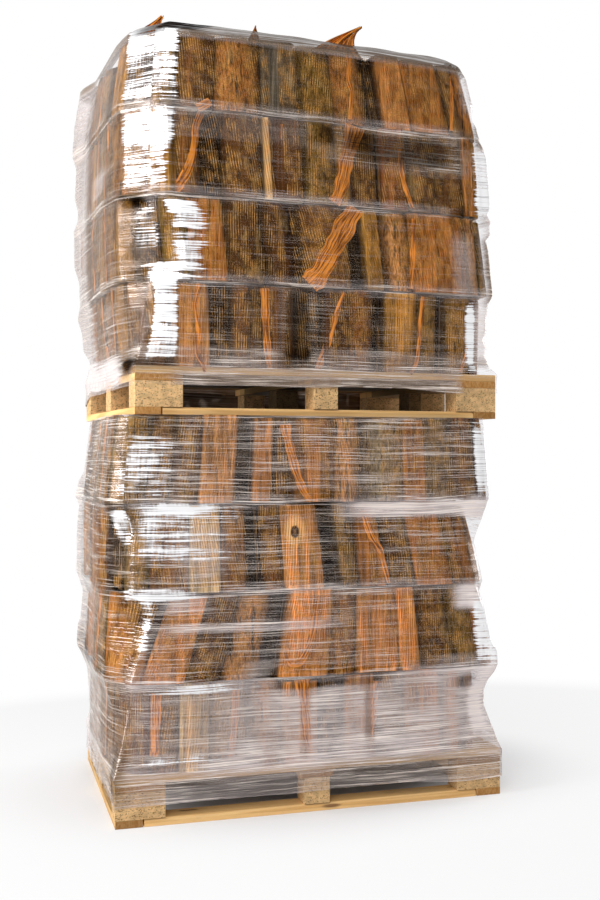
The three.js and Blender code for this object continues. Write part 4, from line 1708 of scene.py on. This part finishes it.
        # the rear hem below the deck: bunched film made opaque and near-black, painted shade over
        # the pallet's rear openings
        shaded_bunched_hem = self.rear(i) * (1 - smooth_step(DECK_TOP - 0.02, DECK_TOP + 0.01, z))
        haze += 2.2 * shaded_bunched_hem
        streak *= 1 - 0.4 * shaded_bunched_hem
        dusk += shaded_bunched_hem * (1.25 + 1.1 * cloud(along * 2.5, z * 38, 2.0))
        levels = {"haze": haze, "streak": streak, "glare": 0.0, "dusk": dusk}
        for mark in self.plan.marks:
            power = mark.strength(along, z)
            if power:
                for name in levels:
                    levels[name] += getattr(mark, name) * power
        return levels | {"haze": max(levels["haze"], 0.0), "streak": max(levels["streak"], 0.0),
                         "dusk": min(levels["dusk"], 2.0)}

    def build(self, finish: Material) -> Object:
        """Builds the film.

        Args:
            finish: its material.

        Returns:
            The piece, which stands for the film's solid.
        """
        bm = bmesh.new()
        made = grid(bm, FILM_COLUMNS, FILM_ROWS, self.point,
                    lambda i, j: (self.run[i], self.heights[j]), self.finish_levels)
        bmesh.ops.remove_doubles(bm, verts=made, dist=SEAM_MERGE)
        bm.transform(self.place.matrix)
        made = piece(self.name, bm, finish, [self.node])
        [f"{bags.name}_nets" for bags in self.layers]
        return made


# --- Pallet ---


@dataclass
class PalletDress:
    """The wood of one pallet: sawn boards with worn arrises, and pressed blocks."""

    prefix: str
    place: Place
    arris: float = 0.0016
    wane: float = 0.0012
    worn_band: float = 0.003
    cut_spacing: float = 0.06
    underside: float = 0.35  # how light the deck's underside is, against the rest: painted shade
    inside: float = 0.26  # how light the wood deep inside the pallet is: painted shade
    paleness: float = 1.0  # how light all of its wood is, below 1 as painted shade

    def build(self, boards: Material, chips: Material) -> None:
        """Builds the pallet's pieces.

        Args:
            boards: the sawn boards' material.
            chips: the pressed blocks' material.
        """
        rows = {
            "base_board": ("left", "right", "front", "middle", "back"),
            "stringer": ("left", "middle", "right"),
            "deck_board": tuple(str(n) for n in range(1, 8)),
            "block": tuple(f"{row}_{column}" for row in ("front", "middle", "back")
                           for column in ("left", "centre", "right")),
        }
        for kind, names in rows.items():
            nodes = [f"{self.prefix}_{kind}_{name}" for name in names]
            wood = kind != "block"
            self.dress(f"{self.prefix}_{kind}s", nodes, boards if wood else chips)

    def dress(self, name: str, nodes: list[str], finish: Material) -> None:
        """Builds one piece from the solids of several boards or blocks.

        Args:
            name: the piece's name.
            nodes: the model's nodes that it stands for.
            finish: its material.
        """
        whole = bmesh.new()
        rng = random.Random(name)
        for node in nodes:
            part = self.worn_copy(node, rng)
            mesh = bpy.data.meshes.new("part")
            part.to_mesh(mesh)
            part.free()
            whole.from_mesh(mesh)
            bpy.data.meshes.remove(mesh)
        piece(name, whole, finish, nodes, smooth=False)

    def worn_copy(self, node: str, rng: random.Random) -> BMesh:
        """A copy of a sawn solid with rounded arrises and faces that aren't quite flat.

        Args:
            node: the solid's node.
            rng: where its irregularities come from.

        Returns:
            The copy, with its grain, tone, light and end attributes.
        """
        bm = bmesh.new()
        bm.from_mesh(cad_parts[node].data)
        bm.transform(self.place.matrix.inverted())
        bmesh.ops.remove_doubles(bm, verts=bm.verts, dist=1e-5)
        bmesh.ops.dissolve_limit(bm, angle_limit=0.02, verts=bm.verts, edges=bm.edges)
        low = Vector(min(v.co[a] for v in bm.verts) for a in range(3))
        high = Vector(max(v.co[a] for v in bm.verts) for a in range(3))
        size = high - low
        axis = 0 if size.x > size.y else 1
        bmesh.ops.bevel(bm, geom=list(bm.edges), offset=self.arris, affect="EDGES", segments=2,
                        profile=0.5, material=-1, clamp_overlap=True)
        long_edges = [e for e in bm.edges if abs((e.verts[0].co - e.verts[1].co)[axis])
                      > size[axis] * 0.6]
        cuts = max(1, round(size[axis] / self.cut_spacing))
        bmesh.ops.subdivide_edges(bm, edges=long_edges, cuts=cuts, use_grid_fill=True)
        grain = bm.verts.layers.float_vector.new("grain")
        tone, end, light = (bm.faces.layers.float.new(level) for level in ("tone", "end", "light"))
        offset = scattered(rng, 30)
        seed = scattered(rng, 30, 2)
        middle = (low + high) / 2
        for v in bm.verts:
            local = v.co - middle
            along, across = local[axis], local[1 - axis]
            v[grain] = Vector((along, across, local.z)) + offset
            worn = cloud(along * 7, math.copysign(1, across) * 3, 0, seed)
            if abs(across) > size[1 - axis] / 2 - self.worn_band:
                v.co[1 - axis] -= math.copysign(self.wane * max(0.0, worn), across)
        shade = rng.random()
        bmesh.ops.recalc_face_normals(bm, faces=bm.faces)
        under_deck = high.z > DECK_TOP / 2
        for face in bm.faces:
            face[tone] = shade
            face[end] = 1.0 if abs(face.normal[axis]) > 0.7 else 0.0
            # painted shade: darker wood over a whole pallet, on the deck's downward faces and deep
            # inside the pallet
            face[light] = self.paleness
            if under_deck and face.normal.z < -0.7:
                face[light] *= self.underside
            spot = face.calc_center_median()
            deep = min(PALLET_LENGTH / 2 - abs(spot.x), PALLET_WIDTH / 2 - abs(spot.y))
            if face.normal.z < 0.7:
                face[light] *= 1 - (1 - self.inside) * smooth_step(0.04, 0.16, deep)
        bm.transform(self.place.matrix)
        return bm


# --- Loads ---


@dataclass
class Load:
    """A pallet with its four layers of bags and its film."""

    prefix: str
    place: Place
    plans: tuple[LayerPlan, ...]
    film: FilmPlan
    strands: tuple[Strand, ...]
    seed: int
    is_top: bool

    def __post_init__(self) -> None:
        """Lays the layers in order, with one run of chance for all of them."""
        chance = Chance(self.seed)
        self.layers = [
            BagLayer(f"{self.prefix}_bags_{i + 1}", self.place, DECK_TOP + i * LAYER_HEIGHT, plan,
                     chance, self.is_top and i == LAYER_COUNT - 1)
            for i, plan in enumerate(self.plans)
        ]

    def build(self, finishes: dict[str, Material]) -> None:
        """Builds every piece of the load.

        Args:
            finishes: the materials by name.
        """
        # the lower pallet's wood gets painted shade
        paleness = 1.0 if self.is_top else LOWER_PAINTED_LIGHT
        PalletDress(self.prefix, self.place, paleness=paleness).build(finishes["boards"],
                                                                      finishes["chips"])
        for layer in self.layers:
            layer.build_logs(finishes["firewood"])
            layer.build_net(finishes["netting"])
        Gathers(f"{self.prefix}_gathered_net", self.place, self.layers, self.strands).build(
            finishes["gathered"])
        if self.is_top:
            top = LoadTop(f"{self.prefix}_top", self.layers[-1], EARS)
            tied = top.build_ears(finishes["gathered"])
            top.build_nets(finishes["netting"])
        wrap = FilmWrap(f"{self.prefix}_film", self.place, self.layers, self.film,
                        f"{self.prefix}_stretch_film")
        wrap.build(finishes["film"])


B, S, R, K = Face
GOLD, ORANGE, BROWN, OLIVE, RED, GREY, DARK, AMBER, CREAM, APRICOT, UMBER = Tone
LOWER_LAYERS = (
    LayerPlan(
        Rim(0.008, -0.056, 0.0, 0.0, (0.09, 0.11), (0.04, 0.06)),
        Rim(0.005, -0.06, -0.004, -0.005, (0.09, 0.11), (0.04, 0.06)),
        ((B, 0.105, BROWN), (S, 0.09, CREAM), (B, 0.12, GOLD),
         (B, 0.105, AMBER), (S, 0.115, AMBER), (K, 0.09, DARK),
         (S, 0.105, AMBER), (B, 0.09, BROWN), (S, 0.12, ORANGE),
         (R, 0.105, AMBER))),
    LayerPlan(
        Rim(0.028, 0.0, 0.01, 0.002, (0.085, 0.12), (0.04, 0.06)),
        Rim(0.012, -0.055, 0.0, -0.005, (0.165, 0.14), (0.04, 0.06)),
        ((S, 0.12, AMBER), (B, 0.09, BROWN), (B, 0.105, APRICOT),
         (K, 0.04, DARK), (S, 0.135, AMBER), (B, 0.075, ORANGE),
         (S, 0.12, AMBER), (S, 0.06, AMBER), (B, 0.095, UMBER),
         (B, 0.095, OLIVE))),
    LayerPlan(
        Rim(0.036, -0.038, 0.01, 0.005, (0.12, 0.12), (0.06, 0.06)),
        Rim(0.034, -0.098, 0.0, 0.0, (0.13, 0.12), (0.06, 0.06)),
        ((S, 0.12, BROWN), (S, 0.095, CREAM), (S, 0.075, BROWN),
         (K, 0.04, DARK), (B, 0.07, BROWN), (S, 0.12, APRICOT),
         (K, 0.05, DARK), (B, 0.06, OLIVE), (S, 0.085, ORANGE),
         (B, 0.09, UMBER), (S, 0.12, ORANGE), (B, 0.055, AMBER)),
        knot=(5, 0.34, 0.66)),
    LayerPlan(
        Rim(0.032, -0.02, 0.01, 0.005, (0.105, 0.06), (0.035, 0.05)),
        Rim(0.004, -0.036, 0.0, 0.0, (0.105, 0.06), (0.035, 0.05)),
        ((B, 0.07, BROWN), (B, 0.07, BROWN), (S, 0.096, APRICOT),
         (K, 0.045, DARK), (S, 0.054, AMBER), (B, 0.045, UMBER),
         (R, 0.125, AMBER), (B, 0.075, APRICOT), (B, 0.12, CREAM),
         (S, 0.066, ORANGE), (B, 0.08, OLIVE), (B, 0.085, BROWN))),
)
UPPER_LAYERS = (
    LayerPlan(
        Rim(0.002, -0.038, 0.0, 0.0, (0.11, 0.11), (0.03, 0.06)),
        Rim(0.022, -0.03, 0.0, -0.005, (0.12, 0.12), (0.03, 0.06)),
        ((S, 0.118, APRICOT), (K, 0.066, GOLD), (B, 0.092, BROWN),
         (S, 0.092, BROWN), (K, 0.092, DARK), (S, 0.08, UMBER),
         (B, 0.082, ORANGE), (K, 0.03, DARK), (S, 0.105, GOLD),
         (B, 0.066, OLIVE), (K, 0.03, DARK), (B, 0.11, GOLD))),
    LayerPlan(
        Rim(0.036, -0.002, 0.012, 0.0, (0.2, 0.15), (0.04, 0.06)),
        Rim(0.042, -0.026, 0.0, -0.005, (0.18, 0.15), (0.04, 0.06)),
        ((S, 0.116, ORANGE), (B, 0.116, UMBER), (B, 0.11, UMBER),
         (B, 0.155, BROWN), (K, 0.048, DARK), (S, 0.06, GOLD),
         (B, 0.095, APRICOT), (S, 0.19, ORANGE), (B, 0.05, APRICOT))),
    LayerPlan(
        Rim(0.04, -0.026, 0.006, 0.0, (0.15, 0.13), (0.04, 0.06)),
        Rim(0.032, -0.044, 0.0, -0.005, (0.13, 0.13), (0.04, 0.06)),
        ((R, 0.095, BROWN), (K, 0.074, DARK), (B, 0.132, BROWN),
         (S, 0.13, UMBER), (B, 0.115, OLIVE), (B, 0.05, GOLD),
         (B, 0.105, UMBER), (S, 0.096, RED), (B, 0.105, UMBER),
         (B, 0.105, BROWN), (S, 0.04, AMBER)),
        fresh_arrises=(3,)),
    LayerPlan(
        Rim(0.036, -0.03, 0.0, 0.0, (0.135, 0.11), (0.055, 0.06)),
        Rim(0.002, -0.092, -0.005, -0.01, (0.12, 0.11), (0.06, 0.06)),
        ((R, 0.133, BROWN), (B, 0.14, AMBER), (S, 0.115, GREY),
         (B, 0.112, OLIVE), (B, 0.11, AMBER), (K, 0.048, GREY),
         (S, 0.09, AMBER), (S, 0.13, ORANGE), (B, 0.068, BROWN))),
)
LOWER_STRANDS = (
    Strand(3, ((-0.099, 1.158), (-0.087, 1.095), (-0.068, 1.02), (-0.047, 0.966),
               (-0.025, 0.93)), (0.03, 0.021)),
    Strand(2, ((0.146, 0.895), (0.172, 0.821), (0.204, 0.76), (0.227, 0.674)), (0.027, 0.016)),
    Strand(1, ((0.0, 0.64), (-0.012, 0.556), (-0.031, 0.488), (-0.062, 0.442),
               (-0.09, 0.45), (-0.096, 0.491)), (0.019, 0.016)),
    Strand(0, ((-0.482, 0.376), (-0.485, 0.304), (-0.487, 0.233), (-0.49, 0.196)),
           (0.035, 0.026)),
    Strand(0, ((-0.247, 0.376), (-0.25, 0.303), (-0.256, 0.231), (-0.262, 0.179)),
           (0.027, 0.016)),
    Strand(0, ((-0.046, 0.394), (-0.04, 0.319), (-0.028, 0.229), (-0.015, 0.15)),
           (0.041, 0.023)),
    Strand(0, ((0.194, 0.374), (0.185, 0.305), (0.172, 0.215), (0.162, 0.15)), (0.027, 0.016)),
)
UPPER_STRANDS = (
    Strand(3, ((0.079, 1.16), (0.08, 1.117), (0.079, 1.063), (0.089, 1.03), (0.085, 0.982),
               (0.084, 0.937)), (0.019, 0.014)),
    Strand(3, ((-0.372, 0.946), (-0.395, 0.93), (-0.412, 0.92)), (0.022, 0.023)),
    Strand(3, ((0.452, 1.15), (0.45, 1.095), (0.446, 1.039), (0.442, 0.94)), (0.014, 0.012)),
    Strand(2, ((-0.395, 0.913), (-0.413, 0.866), (-0.419, 0.805), (-0.437, 0.743),
               (-0.459, 0.697), (-0.477, 0.668)), (0.022, 0.031)),
    Strand(2, ((-0.146, 0.9), (-0.151, 0.816), (-0.157, 0.739), (-0.164, 0.672)),
           (0.011, 0.009)),
    Strand(2, ((0.099, 0.918), (0.085, 0.865), (0.068, 0.806), (0.055, 0.742), (0.038, 0.693),
               (0.024, 0.668)), (0.057, 0.034)),
    Strand(2, ((0.254, 0.86), (0.257, 0.801), (0.269, 0.748), (0.283, 0.707), (0.297, 0.672)),
           (0.016, 0.013)),
    Strand(2, ((0.505, 0.915), (0.512, 0.88), (0.519, 0.812), (0.534, 0.7)), (0.014, 0.013)),
    Strand(1, ((0.104, 0.66), (0.072, 0.611), (0.038, 0.552), (0.004, 0.494), (-0.029, 0.439),
               (-0.056, 0.41)), (0.065, 0.065)),
    Strand(1, ((0.302, 0.64), (0.3, 0.56), (0.296, 0.48), (0.29, 0.412)), (0.016, 0.018)),
    Strand(0, ((-0.405, 0.392), (-0.418, 0.327), (-0.409, 0.253), (-0.411, 0.187),
               (-0.396, 0.152), (-0.385, 0.128)), (0.016, 0.018)),
    Strand(0, ((-0.199, 0.39), (-0.196, 0.292), (-0.189, 0.2), (-0.179, 0.128)),
           (0.027, 0.018)),
    Strand(0, ((0.06, 0.39), (0.036, 0.33), (0.018, 0.262), (-0.004, 0.19),
               (-0.022, 0.132)), (0.014, 0.018)),
    Strand(0, ((0.336, 0.39), (0.325, 0.3), (0.32, 0.24), (0.312, 0.18), (0.29, 0.14)),
           (0.016, 0.013)),
    Strand(0, ((0.498, 0.3), (0.503, 0.24), (0.49, 0.19), (0.47, 0.15)), (0.014, 0.016)),
)
EARS = (
    Ear(0.062, -0.33, 0.104, 0.175, 0.086),
    Ear(-0.215, -0.33, 0.06, 0.05, 0.006),
    Ear(-0.52, -0.2, 0.092, 0.145, 0.045, -0.3),
    Ear(-0.38, 0.185, 0.046, 0.08, 0.02, 1.2),
    Ear(0.01, 0.22, 0.05, 0.08, -0.02, 0.3),
    Ear(0.36, 0.16, 0.048, 0.08, 0.03, 2.1),
    Ear(0.39, -0.21, 0.04, 0.06, 0.02, 0.8),
)
LOWER_MARKS = (
    Mark(-0.52, 1.08, 0.11, 0.05, glare=0.46),
    Mark(-0.5, 1.155, 0.1, 0.036, haze=0.1, dusk=1.4, glare=-0.5, edge=0.7),
    Mark(-0.53, 0.99, 0.13, 0.05, glare=0.42),
    Mark(-0.4, 0.9, 0.17, 0.032, glare=0.7),
    Mark(-0.63, 0.85, 0.045, 0.06, glare=0.66),
    Mark(-0.41, 0.815, 0.16, 0.07, glare=0.5, haze=0.08, edge=0.5),
    Mark(-0.35, 0.78, 0.08, 0.09, haze=0.22, streak=0.3, dusk=-0.3),
    Mark(-0.5, 0.66, 0.2, 0.02, glare=0.7),
    Mark(-0.53, 0.56, 0.03, 0.1, glare=0.5),
    Mark(-0.74, 0.53, 0.18, 0.13, haze=-0.12, edge=0.7),
    Mark(-0.62, 0.27, 0.32, 0.15, haze=-0.23, edge=0.7),
    Mark(0.22, 0.27, 0.4, 0.15, haze=0.07, edge=0.6),
    Mark(-0.34, 0.385, 0.22, 0.014, glare=0.66),
    Mark(-0.42, 0.185, 0.14, 0.012, glare=0.75),
    Mark(0.34, 0.9, 0.26, 0.026, haze=0.6, streak=0.5, edge=0.7),
    Mark(-0.03, 0.93, 0.1, 0.026, haze=-0.15, streak=-0.3),
    Mark(-0.2, 0.56, 0.3, 0.014, haze=0.36, streak=0.3),
    Mark(-0.4, 0.635, 0.08, 0.03, haze=0.3),
    Mark(0.42, 0.53, 0.16, 0.13, haze=-0.04, streak=-0.32, edge=0.7),
    Mark(0.5, 0.155, 0.1, 0.022, haze=-0.3, streak=-0.2),
    Mark(0.5, 0.36, 0.07, 0.02, haze=-0.34, streak=-0.3),
    Mark(0.0, 0.17, 0.8, 0.05, haze=0.1, streak=0.3),
    Mark(0.0, 0.1, 0.8, 0.045, haze=-0.2, streak=0.3, dusk=0.35, edge=0.9),
    Mark(0.28, 0.11, 0.3, 0.045, dusk=0.3),
    Mark(-0.58, 0.42, 0.16, 0.036, haze=0.14, streak=0.3, edge=0.8),
    Mark(-0.34, 0.41, 0.1, 0.03, haze=-0.15),
    Mark(0.04, 0.4, 0.2, 0.034, haze=-0.46, streak=-0.2, edge=0.7),
    Mark(-1.2, 0.43, 0.2, 0.06, dusk=0.6),
    Mark(-0.65, 0.68, 0.04, 0.03, haze=-0.3, streak=-0.3, glare=-0.3),
    Mark(0.44, 0.42, 0.1, 0.03, haze=0.14, streak=0.3),
    Mark(0.5, 0.79, 0.05, 0.04, haze=-0.3, streak=-0.3),
    Mark(-0.17, 0.435, 0.05, 0.025, haze=0.34, dusk=0.5),
    Mark(-0.04, 0.362, 0.07, 0.022, haze=-0.18, streak=-0.15),
    Mark(-0.038, 0.27, 0.02, 0.11, haze=-0.28, streak=-0.15),
    Mark(0.163, 0.28, 0.02, 0.1, haze=-0.26, streak=-0.15),
    Mark(-0.95, 0.6, 0.34, 0.6, haze=0.06, dusk=0.9, edge=0.9),
    Mark(-0.62, 0.15, 0.06, 0.08, haze=0.1, dusk=0.8),
    Mark(-1.33, 0.6, 0.12, 0.56, haze=0.38, dusk=-0.4, edge=0.7),
    Mark(0.545, 1.05, 0.032, 0.13, glare=0.85, swell=0.006, edge=0.8),
    Mark(0.54, 0.9, 0.06, 0.04, haze=0.5),
    Mark(0.49, 0.625, 0.06, 0.04, haze=1.0),
    Mark(0.535, 0.52, 0.035, 0.12, glare=0.8, swell=0.012, edge=0.8),
    Mark(0.58, 0.42, 0.05, 0.06, haze=0.5, swell=0.014),
    Mark(-1.38, 0.62, 0.14, 0.34, swell=0.022),
    Mark(-1.38, 0.95, 0.14, 0.05, swell=0.012),
    Mark(-1.38, 0.45, 0.14, 0.05, swell=0.008),
    Mark(0.55, 0.3, 0.04, 0.1, haze=0.55),
)
LOWER_FILM = FilmPlan(
    hem=0.058,
    rear_hem=0.036,
    rim=UNIT_HEIGHT - 0.001,
    haze=(0.44, 0.05, 0.02, 0.05),
    streak=(0.3, 0.52, 0.56, 0.72),
    marks=LOWER_MARKS,
)
UPPER_MARKS = (
    Mark(-0.6, 1.14, 0.105, 0.05, glare=0.74, edge=1.0),
    Mark(-0.6, 1.02, 0.105, 0.09, glare=0.46, edge=1.0),
    Mark(-0.605, 0.86, 0.11, 0.06, glare=0.62, edge=0.95),
    Mark(-0.605, 0.75, 0.1, 0.09, glare=0.44, edge=0.8),
    Mark(-0.63, 0.56, 0.06, 0.08, glare=0.42),
    Mark(-0.48, 0.62, 0.07, 0.022, glare=0.68),
    Mark(-0.44, 0.53, 0.075, 0.09, glare=0.58),
    Mark(-0.53, 0.395, 0.07, 0.02, glare=0.6),
    Mark(-0.52, 0.428, 0.14, 0.034, glare=0.85),
    Mark(-0.68, 0.65, 0.06, 0.03, haze=-0.3, streak=-0.3, glare=-0.4),
    Mark(-0.66, 0.41, 0.07, 0.03, haze=-0.2, dusk=0.4, glare=-0.4),
    Mark(-0.95, 0.74, 0.12, 0.04, haze=0.2, dusk=-0.5),
    Mark(-0.525, 0.27, 0.046, 0.13, glare=0.8, edge=0.9),
    Mark(-0.2, 0.872, 0.3, 0.04, haze=0.14, dusk=0.6, edge=0.9),
    Mark(0.26, 0.852, 0.24, 0.06, haze=0.42, streak=0.4, dusk=1.75, edge=0.5),
    Mark(-0.095, 0.28, 0.055, 0.13, haze=0.28, dusk=1.75, edge=0.5),
    Mark(0.0, 0.165, 0.9, 0.042, haze=0.24, streak=0.5, dusk=0.55, edge=0.9),
    Mark(0.0, 0.104, 0.46, 0.02, haze=0.7, streak=0.3, dusk=0.95, edge=0.8),
    Mark(0.6, 0.125, 0.13, 0.045, haze=-0.9, streak=-0.8, dusk=-0.5, edge=0.5),
    Mark(-0.56, 0.118, 0.1, 0.03, haze=-0.3, dusk=-0.3, edge=0.6),
    Mark(-0.5, 1.178, 0.1, 0.022, haze=0.3, dusk=1.3),
    Mark(-0.98, 0.65, 0.34, 0.55, haze=0.24, dusk=0.95, edge=0.9),
    Mark(-1.3, 0.65, 0.16, 0.6, haze=0.36, dusk=-0.4, edge=0.7),
    Mark(-1.06, 0.14, 0.26, 0.05, haze=0.7, dusk=-0.9, edge=0.8),
    Mark(-0.6, 0.135, 0.15, 0.035, haze=0.15, dusk=1.1, glare=-0.3, edge=0.6),
    Mark(0.55, 1.08, 0.06, 0.07, haze=0.45, glare=0.35, swell=0.012),
    Mark(0.52, 0.93, 0.07, 0.05, haze=0.05, streak=-0.5, dusk=1.2, swell=0.012),
    Mark(-0.02, 0.885, 0.05, 0.04, haze=0.1, dusk=1.4),
    Mark(0.56, 0.925, 0.035, 0.045, haze=0.6, dusk=0.15, glare=-0.5, edge=0.7),
    Mark(0.5, 0.665, 0.08, 0.03, haze=-0.3, streak=-0.3),
    Mark(0.555, 0.78, 0.03, 0.12, glare=0.85, swell=0.012, edge=0.8),
    Mark(0.6, 0.78, 0.05, 0.14, haze=0.4, swell=0.022),
    Mark(0.6, 0.49, 0.045, 0.12, haze=0.8, dusk=1.1, swell=0.016),
    Mark(0.47, 0.5, 0.05, 0.1, haze=0.25, dusk=-0.2),
    Mark(0.508, 0.27, 0.016, 0.13, glare=0.85, swell=0.004, edge=0.8),
    Mark(0.56, 0.27, 0.05, 0.13, haze=0.5, swell=0.006),
    Mark(0.6, 0.63, 0.06, 0.035, haze=0.2, swell=0.024),
    Mark(0.6, 0.32, 0.06, 0.05, swell=0.014),
    Mark(0.6, 0.19, 0.06, 0.035, swell=-0.012),
    Mark(-1.38, 1.12, 0.14, 0.16, haze=0.1, swell=0.04),
    Mark(-1.38, 0.86, 0.14, 0.13, haze=0.1, swell=0.03),
    Mark(-1.38, 0.62, 0.14, 0.12, swell=0.018),
    Mark(-1.38, 0.3, 0.14, 0.09, swell=0.026),
)
UPPER_FILM = FilmPlan(
    hem=0.086,
    rear_hem=0.04,
    rim=UNIT_HEIGHT - TOP_SETTLE + FILM_LIP_HEIGHT,
    lip_haze=0.8,
    haze=(0.01, 0.0, 0.0, 0.0),
    streak=(0.26, 0.16, 0.14, 0.08),
    marks=UPPER_MARKS,
)


# --- Studio ---


@dataclass(frozen=True)
class Lamp:
    """A soft rectangular lamp: where it hangs, what it points at, its size and its watts."""

    name: str
    place: Spot
    target: Spot
    size: tuple[float, float]
    power: float


@dataclass(frozen=True)
class Studio:
    """A pale floor, a white surround, soft lamps and the camera."""

    lamps: tuple[Lamp, ...] = (
        Lamp("left_softbox", (-3.6, -0.9, 1.9), (-0.3, -0.1, 1.2), (1.7, 3.0), 120),
        Lamp("key_softbox", (-1.6, -3.6, 3.9), (0.0, 0.0, 1.1), (2.4, 2.0), 92),
        Lamp("right_softbox", (3.6, 0.9, 2.0), (0.3, 0.0, 1.2), (1.5, 2.6), 42),
    )
    floor_reach: float = 12.0
    surround: float = 0.34  # how bright the surround is as light, where 1 is white
    lens: float = 46.46
    shift: tuple[float, float] = (-0.0333, -0.0222)
    eye: Spot = (-0.9976, -3.7554, 1.0642)
    pitch: float = math.radians(91.249)
    heading: float = math.radians(-17.178)

    def build(self) -> None:
        """Builds the floor, the world, the lamps and the camera."""
        self.floor()
        self.world()
        for lamp in self.lamps:
            self.hang(lamp)
        self.camera()
        bpy.context.scene.view_settings.view_transform = "Standard"

    def floor(self) -> None:
        """Lays the floor, which fades to white away from the load."""
        bm = bmesh.new()
        bmesh.ops.create_grid(bm, x_segments=1, y_segments=1, size=self.floor_reach)
        mesh = bpy.data.meshes.new("floor")
        bm.to_mesh(mesh)
        bm.free()
        s = Shader(bpy.data.materials.new("pale_floor"))
        surface = s.node("BsdfPrincipled", {"Base Color": (0.86, 0.86, 0.87, 1), "Roughness": 0.9})
        place = s.node("TexCoord").outputs["Object"]
        away = s.length(s.vectors("MULTIPLY", place, (1.0, 1.5, 1.0)))
        near, far = s.remap(away, 0.45, 1.15, 0.0, 0.78), s.remap(away, 1.2, 2.6)
        fade = s.times(s.math("MAXIMUM", near, far), s.seen())
        white = s.node("Emission", {"Color": (1, 1, 1, 1), "Strength": 1.0})
        mesh.materials.append(s.finish(s.mixed(fade, surface, white)))
        in_scene("floor", mesh)

    def world(self) -> None:
        """Makes the surround: white to the camera and in reflections, softer as light."""
        world = bpy.data.worlds.new("surround")
        bpy.context.scene.world = world
        s = Shader(world)
        level = s.node("MapRange", {"Value": s.seen(), "To Min": self.surround})
        back = s.node("Background", {"Color": (1, 1, 1, 1), "Strength": level.outputs["Result"]})
        s.node("OutputWorld", {"Surface": back.outputs[0]})

    @staticmethod
    def hang(lamp: Lamp) -> None:
        """Hangs a lamp.

        Args:
            lamp: the lamp.
        """
        data = bpy.data.lights.new(lamp.name, "AREA")
        data.shape = "RECTANGLE"
        data.size, data.size_y = lamp.size
        data.energy = lamp.power
        made = in_scene(lamp.name, data)
        made.location = lamp.place
        aim = Vector(lamp.target) - Vector(lamp.place)
        made.rotation_euler = aim.to_track_quat("-Z", "Y").to_euler()

    def camera(self) -> None:
        """Puts the camera in its place."""
        data = bpy.data.cameras.new("camera")
        data.lens = self.lens
        data.shift_x, data.shift_y = self.shift
        data.clip_end = 60
        made = in_scene("camera", data)
        made.location = self.eye
        made.rotation_euler = (self.pitch, 0, self.heading)
        bpy.context.scene.camera = made


def main() -> None:
    """Builds the loads and the studio."""
    logging.basicConfig(level=logging.INFO, format="%(message)s")
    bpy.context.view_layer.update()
    finishes = {
        "firewood": Firewood().material(),
        "boards": SawnPine().material(),
        "chips": PressedChips().material(),
        "netting": Netting().material(),
        "gathered": GatheredNet().material(),
        "film": StretchFilm().material(),
    }
    upper = Place(*UPPER_SHIFT, UNIT_HEIGHT + SEAT, UPPER_TURN)
    for load in (
        Load("lower", Place(), LOWER_LAYERS, LOWER_FILM, LOWER_STRANDS, LOWER_SEED, False),
        Load("upper", upper, UPPER_LAYERS, UPPER_FILM, UPPER_STRANDS, UPPER_SEED, True),
    ):
        load.build(finishes)
    Studio().build()


if __name__ == "__main__":
    main()
